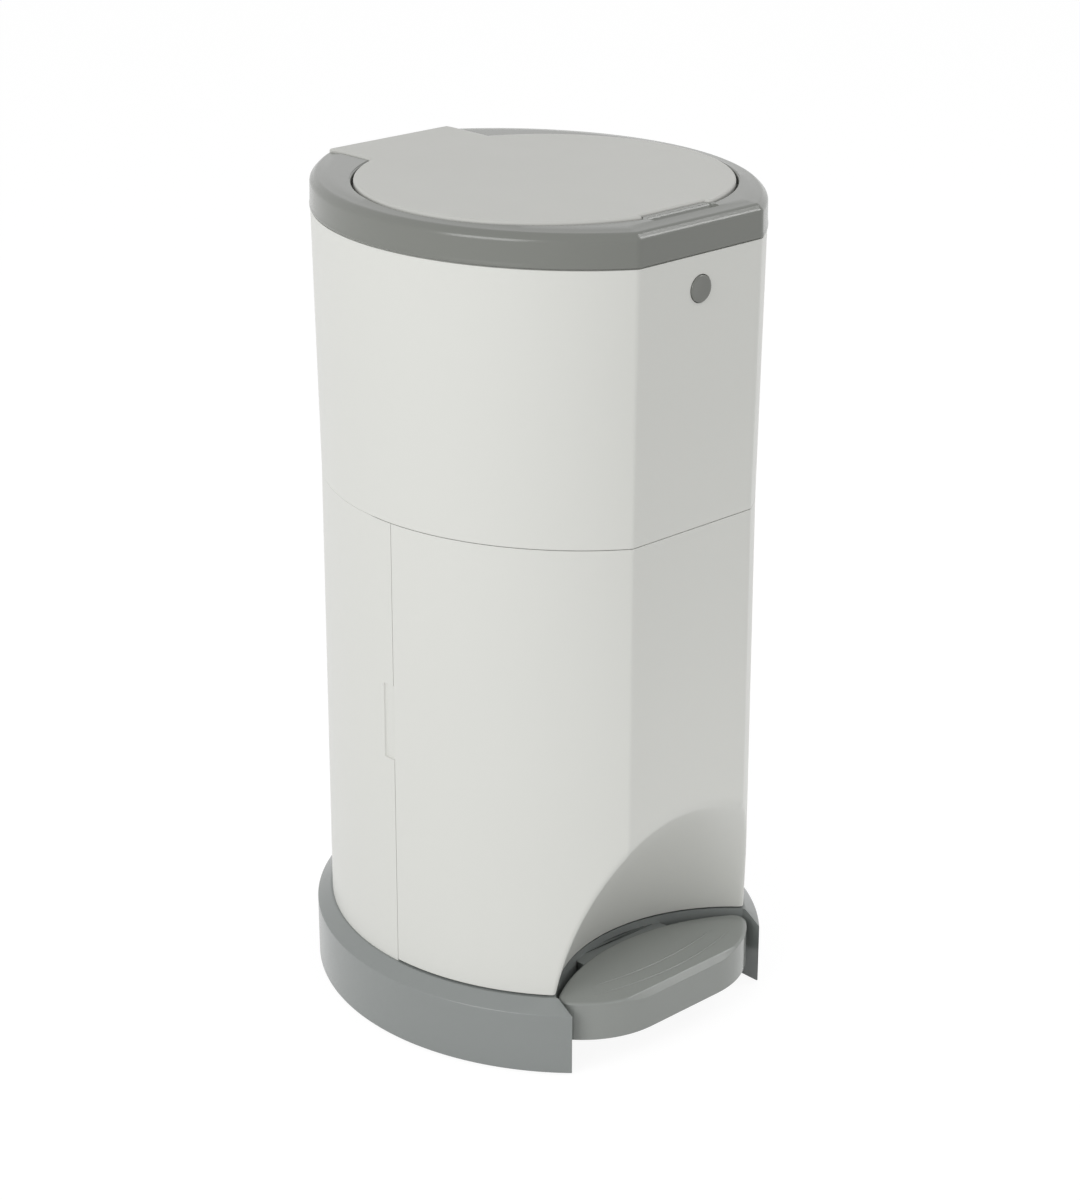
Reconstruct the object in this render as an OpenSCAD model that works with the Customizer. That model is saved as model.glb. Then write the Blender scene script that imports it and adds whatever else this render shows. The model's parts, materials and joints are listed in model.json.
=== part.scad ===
// Pedal nappy bin: rounded two-sided body, hinged hood and lid, foot pedal,
// front door, refill ring around a chute, and a pair of odour flaps below it.
// X is across, Y runs to the back, Z is up. Heights are above the floor.

/* [Body] */
// Height of the lid's top
lid_top = 540; // [520:1:570]
// Height of the hood, from its seam to the lid's top
hood_h = 22; // [20:1:26]
// Height of the upper body, from the seam above the door to the hood
upper_h = 170.5; // [160:0.5:185]
// Radius of the bowed sides
side_r = 165; // [155:1:180]
// Width across the bowed sides at the hood
body_w = 256.8; // [250:0.2:264]
// Depth between the front and rear flats
body_d = 280; // [274:1:288]
// Distance from the lid's centre back to the middle of the body
lid_forward = 8; // [6:0.5:10]
// Radius where a flat meets a bowed side
corner_r = 7; // [4:0.5:12]
// Thickness of the moulded walls
wall = 2.5; // [2:0.1:3]
// How far the body draws in at the middle seam
waist_in = 2.2; // [0.5:0.1:3]
// How far the body draws in at the base
foot_in = 0.8; // [0:0.1:2]
// Visible gap along a seam
seam_gap = 0.7; // [0.4:0.1:1]

/* [Base] */
// Height of the base
base_h = 50; // [46:1:54]
// How far the base stands out past the body
base_flare = 11; // [8:0.5:14]
// Height of the shoulder that slopes back to the body
shoulder_h = 6; // [4:0.5:9]
// Thickness of the base's skirt
skirt_wall = 3; // [2.5:0.1:4]
// Gap between the skirt and the floor
skirt_gap = 1.5; // [1:0.1:3]
// Width of the opening for the pedal
pedal_gap_w = 170; // [160:1:180]
// Radius of the recess behind the pedal
recess_r = 117; // [112:1:124]
// Depth of the recess, from the body's front flat
recess_depth = 67; // [60:1:72]
// Radius of a rubber foot
foot_r = 9; // [7:0.5:10]
// Height of a rubber foot
foot_h = 4.5; // [4:0.1:6]

/* [Door] */
// Radius of the toe scoop across
scoop_r = 136.5; // [130:0.5:145]
// Lean of the toe scoop from upright
scoop_lean = 32.6; // [30:0.2:35]
// Radius of a hinge knuckle
knuckle_r = 4.3; // [4:0.1:5]
// Radius of a door hinge pin
door_pin_r = 1.5; // [1.2:0.1:2]
// Height of a hinge's middle knuckle
knuckle_h = 27; // [20:1:34]
// Height of the finger notch
notch_h = 50; // [40:1:60]
// Width of the finger notch
notch_w = 9; // [7:0.5:11]

/* [Lid and hood] */
// Radius of the lid's disc
lid_r = 117.5; // [114:0.5:119]
// Thickness of the lid's plate
lid_t = 3.8; // [3:0.1:4.5]
// Width of the lid's tail over the hinge
tail_w = 97; // [92:1:100]
// Width of the straight finger edge at the lid's front
finger_w = 54; // [44:1:64]
// Depth of that edge, from the lid's round outline
finger_depth = 7.5; // [5:0.5:9]
// Gap around the lid
lid_gap = 1.4; // [1:0.1:2]
// Distance from the rear flat to the hinge pin
hinge_inset = 9; // [8.5:0.1:10]
// Distance from the lid's top to the hinge pin
hinge_drop = 9; // [8.5:0.1:10]
// Radius of the hinge pin
hinge_pin_r = 2.5; // [2:0.1:2.8]
// Radius of the plunger under the lid
plunger_r = 72; // [68:1:74]
// Depth of the plunger below the lid's top
plunger_depth = 32; // [26:1:34]
// Radius of the crank that opens the lid
crank_r = 21.9; // [20.5:0.1:23]

/* [Chute and refill] */
// Inner radius of the chute
chute_r = 80; // [78:1:82]
// Distance from the hood's seam down to the deck that carries the refill ring
deck_drop = 125.5; // [118:0.5:133]
// Gap between the refill ring and the push rod
refill_gap = 8; // [6:0.5:12]
// Height of the refill ring
refill_h = 62; // [50:1:75]
// Number of folds in the film pack
film_folds = 14; // [8:1:20]
// Distance of a flap's hinge from the middle
flap_hinge = 64; // [62:1:66]
// Thickness of a flap
flap_t = 2.5; // [2:0.1:3]
// Radius of a flap's pin
flap_pin_r = 2; // [1.8:0.1:2.4]

/* [Pedal] */
// Width of the pedal tread
tread_w = 164; // [156:1:166]
// Depth of the tread's side
tread_h = 26; // [22:1:28]
// Radius of the tread's front edge
tread_front_r = 185; // [170:5:220]
// Distance from the body's front flat back to the pedal's pivot
pivot_back = 92; // [88:1:96]
// Height of the pedal's pivot
pivot_z = 25; // [24:0.5:27]
// Radius of the pedal's pin
pedal_pin_r = 3; // [2.5:0.1:3.5]
// Width of the push rod
rod_w = 12; // [10:0.5:14]
// Thickness of the push rod
rod_t = 7; // [6:0.5:8]

/* [Button] */
// Radius of the front button
button_r = 8.2; // [7:0.1:9.5]
// Distance from the hood seam down to the button
button_drop = 22.5; // [20:0.5:26]
// Travel of the button
button_travel = 4; // [3:0.5:4]

/* [Hidden] */
$fn = 96;

// Running and fixed clearances
run_fit = 0.06;
press_fit = 0.02;
slip = 0.4;
eps = 0.01;
past = 1;

// Plan of the body. Distances d are offsets out from the body's outline.
half_w = body_w / 2;
half_d = body_d / 2;
front_y = lid_forward - half_d;
rear_y = lid_forward + half_d;
side_shift = side_r - half_w;
hood_seam = lid_top - hood_h;
mid_seam = hood_seam - upper_h;
deck_z = hood_seam - deck_drop;
// The bin's own middle is the lid's centre; the part's origin is the middle of its box
tread_proud = 1;
axis_y = -(rear_y + base_flare + front_y - tread_proud) / 2;

side_steps = 20;
corner_steps = 5;
function arc(c, r, a0, a1, n, first, last) =
    [for (i = [first:last]) let (a = a0 + (a1 - a0) * i / n) [c.x + r * cos(a), c.y + r * sin(a)]];
function plan(d) = let (
    r = side_r + d,
    c = max(corner_r + d, 1),
    fy = half_d + d - c,
    fx = sqrt((r - c) * (r - c) - fy * fy) - side_shift,
    a = atan2(fy, fx + side_shift),
    m = lid_forward,
    n = side_steps,
    k = corner_steps)
    concat(
        arc([-side_shift, m], r, -a, a, n, 0, n),
        arc([fx, m + fy], c, a, 90, k, 1, k),
        arc([-fx, m + fy], c, 90, 180 - a, k, 0, k - 1),
        arc([side_shift, m], r, 180 - a, 180 + a, n, 0, n),
        arc([-fx, m - fy], c, 180 + a, 270, k, 1, k),
        arc([fx, m - fy], c, 270, 360 - a, k, 0, k - 1));

// Half the width of the front and rear flats, and the angle that a bowed side spans to each side
flat_x = sqrt(pow(side_r - corner_r, 2) - pow(half_d - corner_r, 2)) - side_shift;
side_angle = atan2(half_d - corner_r, flat_x + side_shift);
// Point at a share of that angle along the right side, moved in from the outline
function side_point(share, inset) = [
    (side_r - inset) * cos(share * side_angle) - side_shift,
    lid_forward + (side_r - inset) * sin(share * side_angle)];

// Solid lofted through the plan at each [height, offset]
module loft(levels) {
    rings = [for (l = levels) [for (p = plan(l[1])) [p.x, p.y, l[0]]]];
    n = len(rings[0]);
    top = (len(levels) - 1) * n;
    polyhedron(
        points = [for (r = rings) each r],
        faces = concat(
            [[for (i = [0:n - 1]) i]],
            [[for (i = [n - 1:-1:0]) top + i]],
            [for (k = [0:len(levels) - 2], i = [0:n - 1]) [k * n + i, (k + 1) * n + i,
                (k + 1) * n + (i + 1) % n]],
            [for (k = [0:len(levels) - 2], i = [0:n - 1]) [k * n + i, (k + 1) * n + (i + 1) % n,
                k * n + (i + 1) % n]]));
}
module loft_ring(z0, z1, outer, inner) {
    difference() {
        loft([[z0, outer], [z1, outer]]);
        loft([[z0 - past, inner], [z1 + past, inner]]);
    }
}
module place() { translate([0, axis_y, 0]) children(); }
module box(low, high) { translate(low) cube(high - low); }
module rod_y(r, y0, y1, x, z) { translate([x, y0, z]) rotate([-90, 0, 0]) cylinder(r = r, h = y1 - y0); }
module rod_x(r, x0, x1, y, z) { translate([x0, y, z]) rotate([0, 90, 0]) cylinder(r = r, h = x1 - x0); }
module post(r, z0, z1, x, y) { translate([x, y, z0]) cylinder(r = r, h = z1 - z0); }
module both() { for (s = [0, 1]) mirror([s, 0, 0]) children(); }
// Side profile drawn as [y, z] points, given width from x0 to x1
module side_profile(x0, x1, points) {
    translate([x0, 0, 0]) rotate([90, 0, 90]) linear_extrude(x1 - x0) polygon(points);
}
// Plain helical spring along Z, standing on z = 0
function helix_ring(r, wire, h, turns, t) = let (a = 360 * turns * t, z = wire + (h - 2 * wire) * t)
    [for (j = [0:5]) let (b = 60 * j, q = r + wire * cos(b)) [q * cos(a), q * sin(a), z + wire * sin(b)]];
module coil(r, wire, h, turns) {
    steps = turns * 8;
    rings = [for (i = [0:steps]) helix_ring(r, wire, h, turns, i / steps)];
    polyhedron(
        points = [for (q = rings) each q],
        faces = concat(
            [[for (j = [0:5]) j]],
            [[for (j = [5:-1:0]) steps * 6 + j]],
            [for (i = [0:steps - 1], j = [0:5]) [i * 6 + j, i * 6 + 6 + (j + 1) % 6, i * 6 + (j + 1) % 6]],
            [for (i = [0:steps - 1], j = [0:5]) [i * 6 + j, i * 6 + 6 + j, i * 6 + 6 + (j + 1) % 6]]));
}

// Offsets of the body's draft
function lower_off(z) = -foot_in + (foot_in - waist_in) * (z - base_h) / (mid_seam - base_h);
function upper_off(z) = -waist_in + waist_in * (z - mid_seam) / (hood_seam - mid_seam);
lower_top = mid_seam - seam_gap / 2;
upper_low = mid_seam + seam_gap / 2;
upper_top = hood_seam - seam_gap / 2;
door_low = base_h + 1.2;

/* Base */
recess_y = front_y + recess_depth - recess_r;
ledge_t = 3.5;
ledge_w = 10;
foot_x = half_w - 29.4;
foot_y = [lid_forward + half_d * 0.44, lid_forward - half_d * 0.5];
post_r = foot_r + 2;
slot_w = 12;
slot_l = 40;
slot_edge = 8;
slot_top = 5;
arm_x = 32;
arm_w = 8;
lug_x = 42;
lug_t = 5;
pivot_y = front_y + pivot_back;
base_screw_at = [side_point(0.25, 7), side_point(0.85, 7)];
base_screw_l = 20;
boss_r = 5;
boss_h = base_screw_l + 5;
screw_r = 1.5;
screw_head_r = 3.2;
screw_head_h = 2.2;

module base_recess(grow, low, high) {
    intersection() {
        post(recess_r + grow, low, high, 0, recess_y);
        box([-pedal_gap_w / 2 - grow, recess_y - 2 * recess_r, low], [pedal_gap_w / 2 + grow, 0, high]);
    }
}
module foot_places() {
    both() for (y = foot_y) translate([foot_x, y, 0]) children();
}
module base_screw_places() {
    both() for (p = base_screw_at) translate(p) children();
}
module base_skirt() {
    color([0.54, 0.56, 0.55]) place() difference() {
        union() {
            difference() {
                loft([[skirt_gap, base_flare], [base_h - shoulder_h, base_flare], [base_h, 0.3]]);
                loft([[0, base_flare - skirt_wall], [base_h - shoulder_h - 2, base_flare - skirt_wall],
                    [base_h - 2, 0.3 - skirt_wall], [base_h + past, 0.3 - skirt_wall]]);
            }
            loft_ring(base_h - ledge_t, base_h, -0.5, -ledge_w);
            intersection() {
                base_recess(skirt_wall, skirt_gap, base_h);
                loft([[0, base_flare - 1], [base_h - shoulder_h - 1, base_flare - 1], [base_h, -0.5]]);
            }
            foot_places() cylinder(r = post_r, h = base_h - skirt_gap - eps);
            both() box([lug_x, pivot_y - 30, 12], [lug_x + lug_t, pivot_y + 8, base_h - ledge_t]);
        }
        base_recess(0, -past, base_h + past);
        box([-foot_x - post_r, foot_y[1] - post_r, -past],
            [foot_x + post_r, foot_y[0] + post_r, skirt_gap]);
        foot_places() cylinder(r = foot_r + press_fit, h = foot_h);
        box([-arm_x - slot_w / 2, pivot_y - slot_l, slot_edge],
            [arm_x + slot_w / 2, pivot_y, base_h - slot_top]);
        rod_x(pedal_pin_r + press_fit, -lug_x - lug_t - past, lug_x + lug_t + past, pivot_y, pivot_z);
        base_screw_places() cylinder(r = screw_r + slip, h = base_h + past);
    }
}
module rubber_feet() {
    color([0.2, 0.2, 0.2]) place() foot_places() cylinder(r = foot_r, h = foot_h);
}
tray_t = 2.5;
tray_lip = 4;
tray_top = base_h + tray_t + tray_lip;
rod_y0 = rear_y - hinge_inset - crank_r + 0.9;
rod_mid = rod_y0 + rod_t / 2;
module floor_tray() {
    inset = foot_in + wall + 1;
    color([0.86, 0.86, 0.84]) place() difference() {
        union() {
            loft([[base_h, -inset], [base_h + tray_t, -inset]]);
            loft_ring(base_h + tray_t - eps, tray_top, -inset, -inset - 2);
        }
        base_recess(6 + wall, base_h - past, tray_top + past);
        box([-rod_w / 2 - 1, rod_y0 - 1, base_h - past],
            [rod_w / 2 + 1, rod_y0 + rod_t + 1, base_h + tray_t + past]);
        base_screw_places() cylinder(r = boss_r + 0.6, h = base_h + base_screw_l);
        both() box([jamb_x - 1, -jamb_gap - jamb_t - 1.5, base_h - past],
            [half_w, jamb_gap + jamb_t + 1, tray_top + past]);
    }
}
module base_screws() {
    color("silver") place() base_screw_places() {
        translate([0, 0, base_h - ledge_t - screw_head_h]) cylinder(r = screw_head_r, h = screw_head_h);
        translate([0, 0, base_h - ledge_t - eps]) cylinder(r = screw_r, h = base_screw_l);
    }
}

/* Housing */
hinge_x = half_w - (waist_in + foot_in) / 2 + 1;
hinge_z = [base_h + 70, mid_seam - 67];
knuckle_gap = 0.5;
knuckle_end = 16;
knuckle_clear = 0.6;
hinge_reach = knuckle_h / 2 + knuckle_gap + knuckle_end;
notch_z = base_h + 166;
jamb_gap = 0.5;
jamb_t = 2.5;
jamb_w = 7;
jamb_x = half_w - waist_in - wall - jamb_w;
notch_out = half_w - foot_in;
notch_in = 4.5;
notch_wall = 3;
module hinge_places() { for (z = hinge_z) translate([hinge_x, 0, z]) children(); }
module middle_knuckle(r, grow) {
    translate([0, 0, -knuckle_h / 2 - grow]) cylinder(r = r, h = knuckle_h + 2 * grow);
}
module end_knuckles(r, grow) {
    for (s = [-1, 1]) translate([0, 0, s * (knuckle_h / 2 + knuckle_gap + knuckle_end / 2)
        - knuckle_end / 2 - grow]) cylinder(r = r, h = knuckle_end + 2 * grow);
}
module lower_shell(z0) {
    difference() {
        loft([[z0, lower_off(z0)], [lower_top, lower_off(lower_top)]]);
        loft([[z0 - past, lower_off(z0) - wall], [lower_top + past, lower_off(lower_top) - wall]]);
    }
}
module lower_housing() {
    color([0.87, 0.87, 0.85]) place() difference() {
        union() {
            intersection() {
                lower_shell(base_h);
                box([-half_w - 5, jamb_gap, base_h], [half_w + 5, rear_y + 5, mid_seam]);
            }
            intersection() {
                loft([[base_h, lower_off(base_h) - 1], [lower_top, lower_off(lower_top) - 1]]);
                both() box([jamb_x, jamb_gap, base_h],
                    [half_w, jamb_gap + jamb_t, mid_seam]);
            }
            intersection() {
                loft([[base_h, lower_off(base_h) - 1], [lower_top, lower_off(lower_top) - 1]]);
                box([-notch_out, jamb_gap, notch_z - notch_h / 2 - wall],
                    [-notch_out + notch_in + notch_wall, jamb_gap + notch_w + wall,
                        notch_z + notch_h / 2 + wall]);
            }
            intersection() {
                loft([[base_h, lower_off(base_h) - 1], [base_h + boss_h, lower_off(base_h) - 1]]);
                base_screw_places() post(boss_r, base_h, base_h + boss_h, 0, 0);
            }
            hinge_places() end_knuckles(knuckle_r, 0);
        }
        translate([-notch_out, 0, notch_z - notch_h / 2]) linear_extrude(notch_h)
            polygon([[-5, -past], [notch_in, -past], [notch_in, jamb_gap + 1.5], [0.3, jamb_gap + notch_w],
                [-5, jamb_gap + notch_w]]);
        hinge_places() middle_knuckle(knuckle_r + knuckle_clear, knuckle_gap);
        hinge_places() post(door_pin_r + press_fit, -hinge_reach - past, hinge_reach + past, 0, 0);
        base_screw_places() post(screw_r + press_fit, base_h - past, base_h + base_screw_l + past, 0, 0);
    }
}
spigot_t = 2;
spigot_h = 9;
ear_x = 41.4;
ear_w = 4;
ear_r = 4.6;
// Arm of a hinge ear, from its barrel forward and down, then back to the rear wall clear of the lid's tail
ear_points = [[-1, ear_r - 0.1], [-10, 2.5], [-19, -8], [-19, -26], [-8, -37], [hinge_inset, -37],
    [hinge_inset, -15.5], [-10.5, -15.5], [-8, -8.5], [-3, -3]];
hinge_y = rear_y - hinge_inset;
hinge_axis_z = lid_top - hinge_drop;
button_z = hood_seam - button_drop;
deck_t = 3;
deck_ledge_w = 9;
deck_screw_at = [side_point(-0.55, 13.6), side_point(0.55, 13.6)];
guide_r = button_r + 3.8;
guide_back = front_y + 20;
stem_r = 5;
stem_out = 3;
module deck_screw_places() {
    both() for (p = deck_screw_at) translate(p) children();
}
module upper_housing() {
    deck_low = deck_z - deck_t;
    ledge_off = upper_off(deck_low) - wall;
    spigot_off = upper_off(upper_low) - wall - 0.3;
    color([0.87, 0.87, 0.85]) place() difference() {
        union() {
            difference() {
                loft([[upper_low, upper_off(upper_low)], [upper_top, upper_off(upper_top)]]);
                loft([[upper_low - past, upper_off(upper_low) - wall],
                    [upper_top + past, upper_off(upper_top) - wall]]);
            }
            intersection() {
                difference() {
                    loft([[upper_low - spigot_h, spigot_off], [upper_low - past, spigot_off],
                        [upper_low + 4, spigot_off + 1]]);
                    loft([[upper_low - spigot_h - past, spigot_off - spigot_t],
                        [upper_low + 5, spigot_off - spigot_t]]);
                }
                box([-half_w, 8, 0], [half_w, rear_y, lid_top]);
            }
            loft_ring(deck_low - 3, deck_low, ledge_off + 0.5, ledge_off - deck_ledge_w);
            intersection() {
                loft([[deck_low - 14, ledge_off + 0.5], [deck_low, ledge_off + 0.5]]);
                deck_screw_places() post(5.5, deck_low - 14, deck_low, 0, 0);
            }
            both() intersection() {
                loft([[0, -1], [lid_top, -1]]);
                union() {
                    side_profile(ear_x, ear_x + ear_w,
                        [for (p = ear_points) [hinge_y + p.x, hinge_axis_z + p.y]]);
                    rod_x(ear_r, ear_x, ear_x + ear_w, hinge_y, hinge_axis_z);
                }
            }
            rod_y(guide_r, front_y + 1, guide_back, 0, button_z);
        }
        rod_y(button_r + slip, front_y - 5, front_y + 5, 0, button_z);
        rod_y(button_r + 2.2, front_y + wall + 0.2, guide_back - 2, 0, button_z);
        rod_y(stem_r + slip, front_y, guide_back + past, 0, button_z);
        rod_x(hinge_pin_r + press_fit, -half_w, half_w, hinge_y, hinge_axis_z);
        deck_screw_places() post(screw_r + press_fit, deck_low - 12, deck_z, 0, 0);
        box([-rod_w, rod_y0 - 2, deck_low - 4], [rod_w, rod_y0 + rod_t + 2, deck_low + past]);
    }
}

/* Refill deck, chute and odour trap */
chute_t = 2.5;
chute_top = hood_seam - 7;
channel_w = rod_w + 14;
channel_front = rod_y0 - 5.5;
channel_t = 2;
module rod_hole(z0, z1) {
    box([-rod_w / 2 - slip, rod_y0 - slip, z0], [rod_w / 2 + slip, rod_y0 + rod_t + slip, z1]);
}
module rod_channel() {
    low = base_h + tray_t;
    high = deck_z - deck_t - 3.5;
    back = rear_y - wall - waist_in - spigot_t - 0.8;
    color([0.86, 0.86, 0.84]) place() difference() {
        box([-channel_w / 2, channel_front, low], [channel_w / 2, back, high]);
        difference() {
            box([-channel_w / 2 + channel_t, channel_front + channel_t, low - past],
                [channel_w / 2 - channel_t, back + past, high + past]);
            for (z = [low + 10, high - 8])
                box([-channel_w, channel_front, z], [channel_w, back - 6, z + 4]);
        }
        rod_hole(low - past, high + past);
    }
}
module rod_guide() {
    z = chute_top - 26;
    back = rear_y + upper_off(z) - wall - 0.1;
    color([0.6, 0.61, 0.6]) place() difference() {
        union() {
            box([-channel_w / 2, rod_y0 - 4, z], [channel_w / 2, back, z + 6]);
            box([-channel_w / 2, back - 3, z - 10], [channel_w / 2, back, z + 12]);
        }
        rod_hole(z - past, z + 6 + past);
        both() rod_y(screw_r, back - 4, back + past, channel_w / 2 - 4, z - 5);
    }
}
module liner_deck() {
    inset = upper_off(deck_z) - wall - 0.6;
    color([0.8, 0.81, 0.8]) place() difference() {
        union() {
            loft([[deck_z - deck_t, inset], [deck_z, inset]]);
            loft_ring(deck_z - eps, deck_z + 5, inset, inset - 2);
        }
        post(chute_r + 4, deck_z - deck_t - past, deck_z + past, 0, 0);
        box([-rod_w / 2 - 2, rod_y0 - 2, deck_z - deck_t - past],
            [rod_w / 2 + 2, rod_y0 + rod_t + 2, deck_z + past]);
        deck_screw_places() post(screw_r + slip, deck_z - deck_t - past, deck_z + past, 0, 0);
    }
}
module deck_screws() {
    color("silver") place() deck_screw_places() {
        post(screw_head_r, deck_z, deck_z + screw_head_h, 0, 0);
        post(screw_r, deck_z - deck_t - 10, deck_z + eps, 0, 0);
    }
}
module turned(points) { rotate_extrude() polygon(points); }
module chute() {
    color([0.9, 0.9, 0.89]) place() turned([
        [chute_r, deck_z], [chute_r + 14, deck_z], [chute_r + 14, deck_z + 2],
        [chute_r + chute_t, deck_z + 2], [chute_r + chute_t, chute_top - 3],
        [chute_r + chute_t - 0.8, chute_top], [chute_r + 0.8, chute_top], [chute_r, chute_top - 1.5]]);
}
refill_in = chute_r + 6;
refill_r = rod_y0 - refill_gap;
refill_z = deck_z + 2.5;
refill_top = refill_z + refill_h;
module refill_cassette() {
    t = 1.5;
    color([0.25, 0.45, 0.6]) place() turned([
        [refill_in, refill_z], [refill_r - 2, refill_z], [refill_r, refill_z + 2],
        [refill_r, refill_top - 2], [refill_r - 2, refill_top], [refill_in + 8, refill_top],
        [refill_in + 8, refill_top - t], [refill_r - t, refill_top - t - 0.5],
        [refill_r - t, refill_z + t + 0.5], [refill_in + t, refill_z + t],
        [refill_in + t, refill_top - 6], [refill_in, refill_top - 6]]);
}
module refill_film() {
    low = refill_z + 2;
    step = (refill_h - 6) / film_folds;
    in_r = refill_in + 2.2;
    out_r = refill_r - 2.2;
    inner = [for (i = [film_folds:-1:0]) [in_r + 2.5 * (i % 2), low + i * step]];
    outer = [for (i = [0:film_folds]) [out_r - 2.5 * (i % 2), low + i * step]];
    color([0.75, 0.85, 0.92]) place() turned(concat(outer, inner));
}
frame_t = 3.5;
flap_z = deck_z - 14.5;
frame_low = flap_z - 6.5;
barrel_r = 4;
barrel_y = [-42, 30];
bearing_y = [43.5, 54];
module trap_frame() {
    color([0.8, 0.81, 0.8]) place() difference() {
        union() {
            turned([
                [chute_r, frame_low], [chute_r + frame_t, frame_low],
                [chute_r + frame_t, deck_z - deck_t - 4], [chute_r + 14, deck_z - deck_t - 2.5],
                [chute_r + 14, deck_z - deck_t], [chute_r + frame_t, deck_z - deck_t],
                [chute_r + frame_t, deck_z - 0.5], [chute_r, deck_z - 0.5]]);
            intersection() {
                post(chute_r + 1, frame_low, deck_z, 0, 0);
                both() union() {
                    for (s = [0, 1]) mirror([0, s, 0])
                        box([flap_hinge - 5, bearing_y[0], flap_z - 6],
                            [flap_hinge + 5, bearing_y[1], flap_z + 6]);
                    box([flap_hinge + barrel_r + 0.6, -60, flap_z - 2], [chute_r + 1, 60, flap_z + 2]);
                }
            }
        }
        both() rod_y(flap_pin_r + press_fit, -bearing_y[1] + 3, bearing_y[1] - 3, flap_hinge, flap_z);
    }
}
module trap_pin() { rod_y(flap_pin_r, -bearing_y[1] + 3.2, bearing_y[1] - 3.2, flap_hinge, flap_z); }
module trap_pin_right() { color("silver") place() trap_pin(); }
module trap_pin_left() { color("silver") place() mirror([1, 0, 0]) trap_pin(); }
module trap_spring() {
    translate([flap_hinge, barrel_y[1] + 1, flap_z]) rotate([-90, 0, 0])
        coil(flap_pin_r + 1.4, 0.5, bearing_y[0] - barrel_y[1] - 2, 6);
}
module trap_spring_right() { color([0.6, 0.6, 0.6]) place() trap_spring(); }
module trap_spring_left() { color([0.6, 0.6, 0.6]) place() mirror([1, 0, 0]) trap_spring(); }
module flap() {
    gap = 0.8;
    difference() {
        union() {
            intersection() {
                post(chute_r - 3, flap_z, flap_z + flap_t, 0, 0);
                box([gap, -chute_r, flap_z - past], [flap_hinge, chute_r, flap_z + flap_t + past]);
            }
            rod_y(barrel_r, barrel_y[0], barrel_y[1], flap_hinge, flap_z);
            intersection() {
                post(chute_r - 6, flap_z - 3, flap_z + eps, 0, 0);
                union() {
                    for (y = [-30, 0, 24]) box([gap + 6, y, flap_z - 3], [flap_hinge, y + 2, flap_z + eps]);
                    box([gap + 4, -60, flap_z - 3], [gap + 6, 60, flap_z + eps]);
                }
            }
        }
        rod_y(flap_pin_r + run_fit, -chute_r, chute_r, flap_hinge, flap_z);
        box([flap_hinge - 10.5, barrel_y[1], flap_z - 5], [flap_hinge + 5, chute_r, flap_z + 5]);
        box([flap_hinge - 10.5, -chute_r, flap_z - 5], [flap_hinge + 5, barrel_y[0], flap_z + 5]);
    }
}
module flap_lip() {
    intersection() {
        post(chute_r - 4, flap_z, flap_z + 6, 0, 0);
        box([0.4, -chute_r, flap_z + flap_t], [7, chute_r, flap_z + flap_t + 1.5]);
    }
}
module flap_right() { color([0.55, 0.57, 0.56]) place() flap(); }
module flap_left() { color([0.55, 0.57, 0.56]) place() mirror([1, 0, 0]) flap(); }
module flap_lip_right() { color([0.15, 0.15, 0.15]) place() flap_lip(); }
module flap_lip_left() { color([0.15, 0.15, 0.15]) place() mirror([1, 0, 0]) flap_lip(); }

/* Hood and lid */
hood_low = hood_seam + seam_gap / 2 + 0.05;
hood_top = lid_top - 2.5;
seat_z = lid_top - 10;
seat_t = 3;
seat_r = lid_r + lid_gap;
finger_y = lid_r - finger_depth;
finger_r = 9;
finger_dip = 3.5;
cheek_x = tail_w / 2 + lid_gap - 0.2;
cheek_w = 6.4;
tail_front = seat_r - 15;
pin_end = cheek_x + 4.2;
mouth_r = chute_r + 0.5;
hood_pin_gap = 0.4;
module hinge_relief() {
    box([-64, rear_y - 20, hood_low - past], [64, rear_y + 5, hinge_axis_z - 9]);
}
module hood_rim() {
    color([0.55, 0.57, 0.54]) place() difference() {
        union() {
            difference() {
                loft([[hood_low, 0.5], [hood_low + 3, 0.3], [hood_top - 5, 0], [hood_top - 2.6, -0.7],
                    [hood_top - 1, -2.1], [hood_top - 0.2, -4.2], [hood_top + 0.3, -8]]);
                difference() {
                    loft([[hood_low - past, -wall], [hood_top - 6, -wall], [hood_top - 2.5, -wall - 3]]);
                    post(seat_r + wall, seat_z - seat_t, lid_top, 0, 0);
                }
            }
            turned([[mouth_r, chute_top + 1.5], [mouth_r + 2.5, chute_top + 1.5],
                [mouth_r + 2.5, seat_z - seat_t + eps], [mouth_r, seat_z - seat_t + eps]]);
            intersection() {
                loft([[hood_low, -0.5], [hood_top - 6, -0.5], [hood_top - 1, -5]]);
                both() box([cheek_x, tail_front, hood_low], [cheek_x + cheek_w, rear_y, hood_top]);
            }
        }
        difference() {
            post(seat_r, seat_z, lid_top + past, 0, 0);
            box([lid_gap - finger_w / 2, -seat_r - past, seat_z - past],
                [finger_w / 2 - lid_gap, -finger_y - lid_gap, hood_top]);
        }
        post(mouth_r, hood_low - past - 10, lid_top, 0, 0);
        box([-cheek_x, tail_front, hood_low - past], [cheek_x, rear_y + 5, lid_top]);
        hinge_relief();
        rod_x(hinge_pin_r + run_fit, -pin_end - hood_pin_gap, pin_end + hood_pin_gap, hinge_y,
            hinge_axis_z);
        rod_x(finger_r, -finger_w / 2, finger_w / 2, 1 - seat_r, hood_top - finger_dip + finger_r);
    }
}
hook_y = guide_back + stem_out + button_travel + 1;
module hood_hook() {
    color([0.45, 0.46, 0.45]) place() union() {
        box([-10, hook_y, button_z - 9], [10, hook_y + 2.5, seat_z - seat_t]);
        box([-7, hook_y - 2.2, button_z - 9], [7, hook_y + eps, button_z - 6.2]);
        box([-13, hook_y, seat_z - seat_t - 4], [13, hook_y + 9, seat_z - seat_t]);
    }
}
lid_low = seat_z + 1;
plate_low = lid_top - lid_t;
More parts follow.
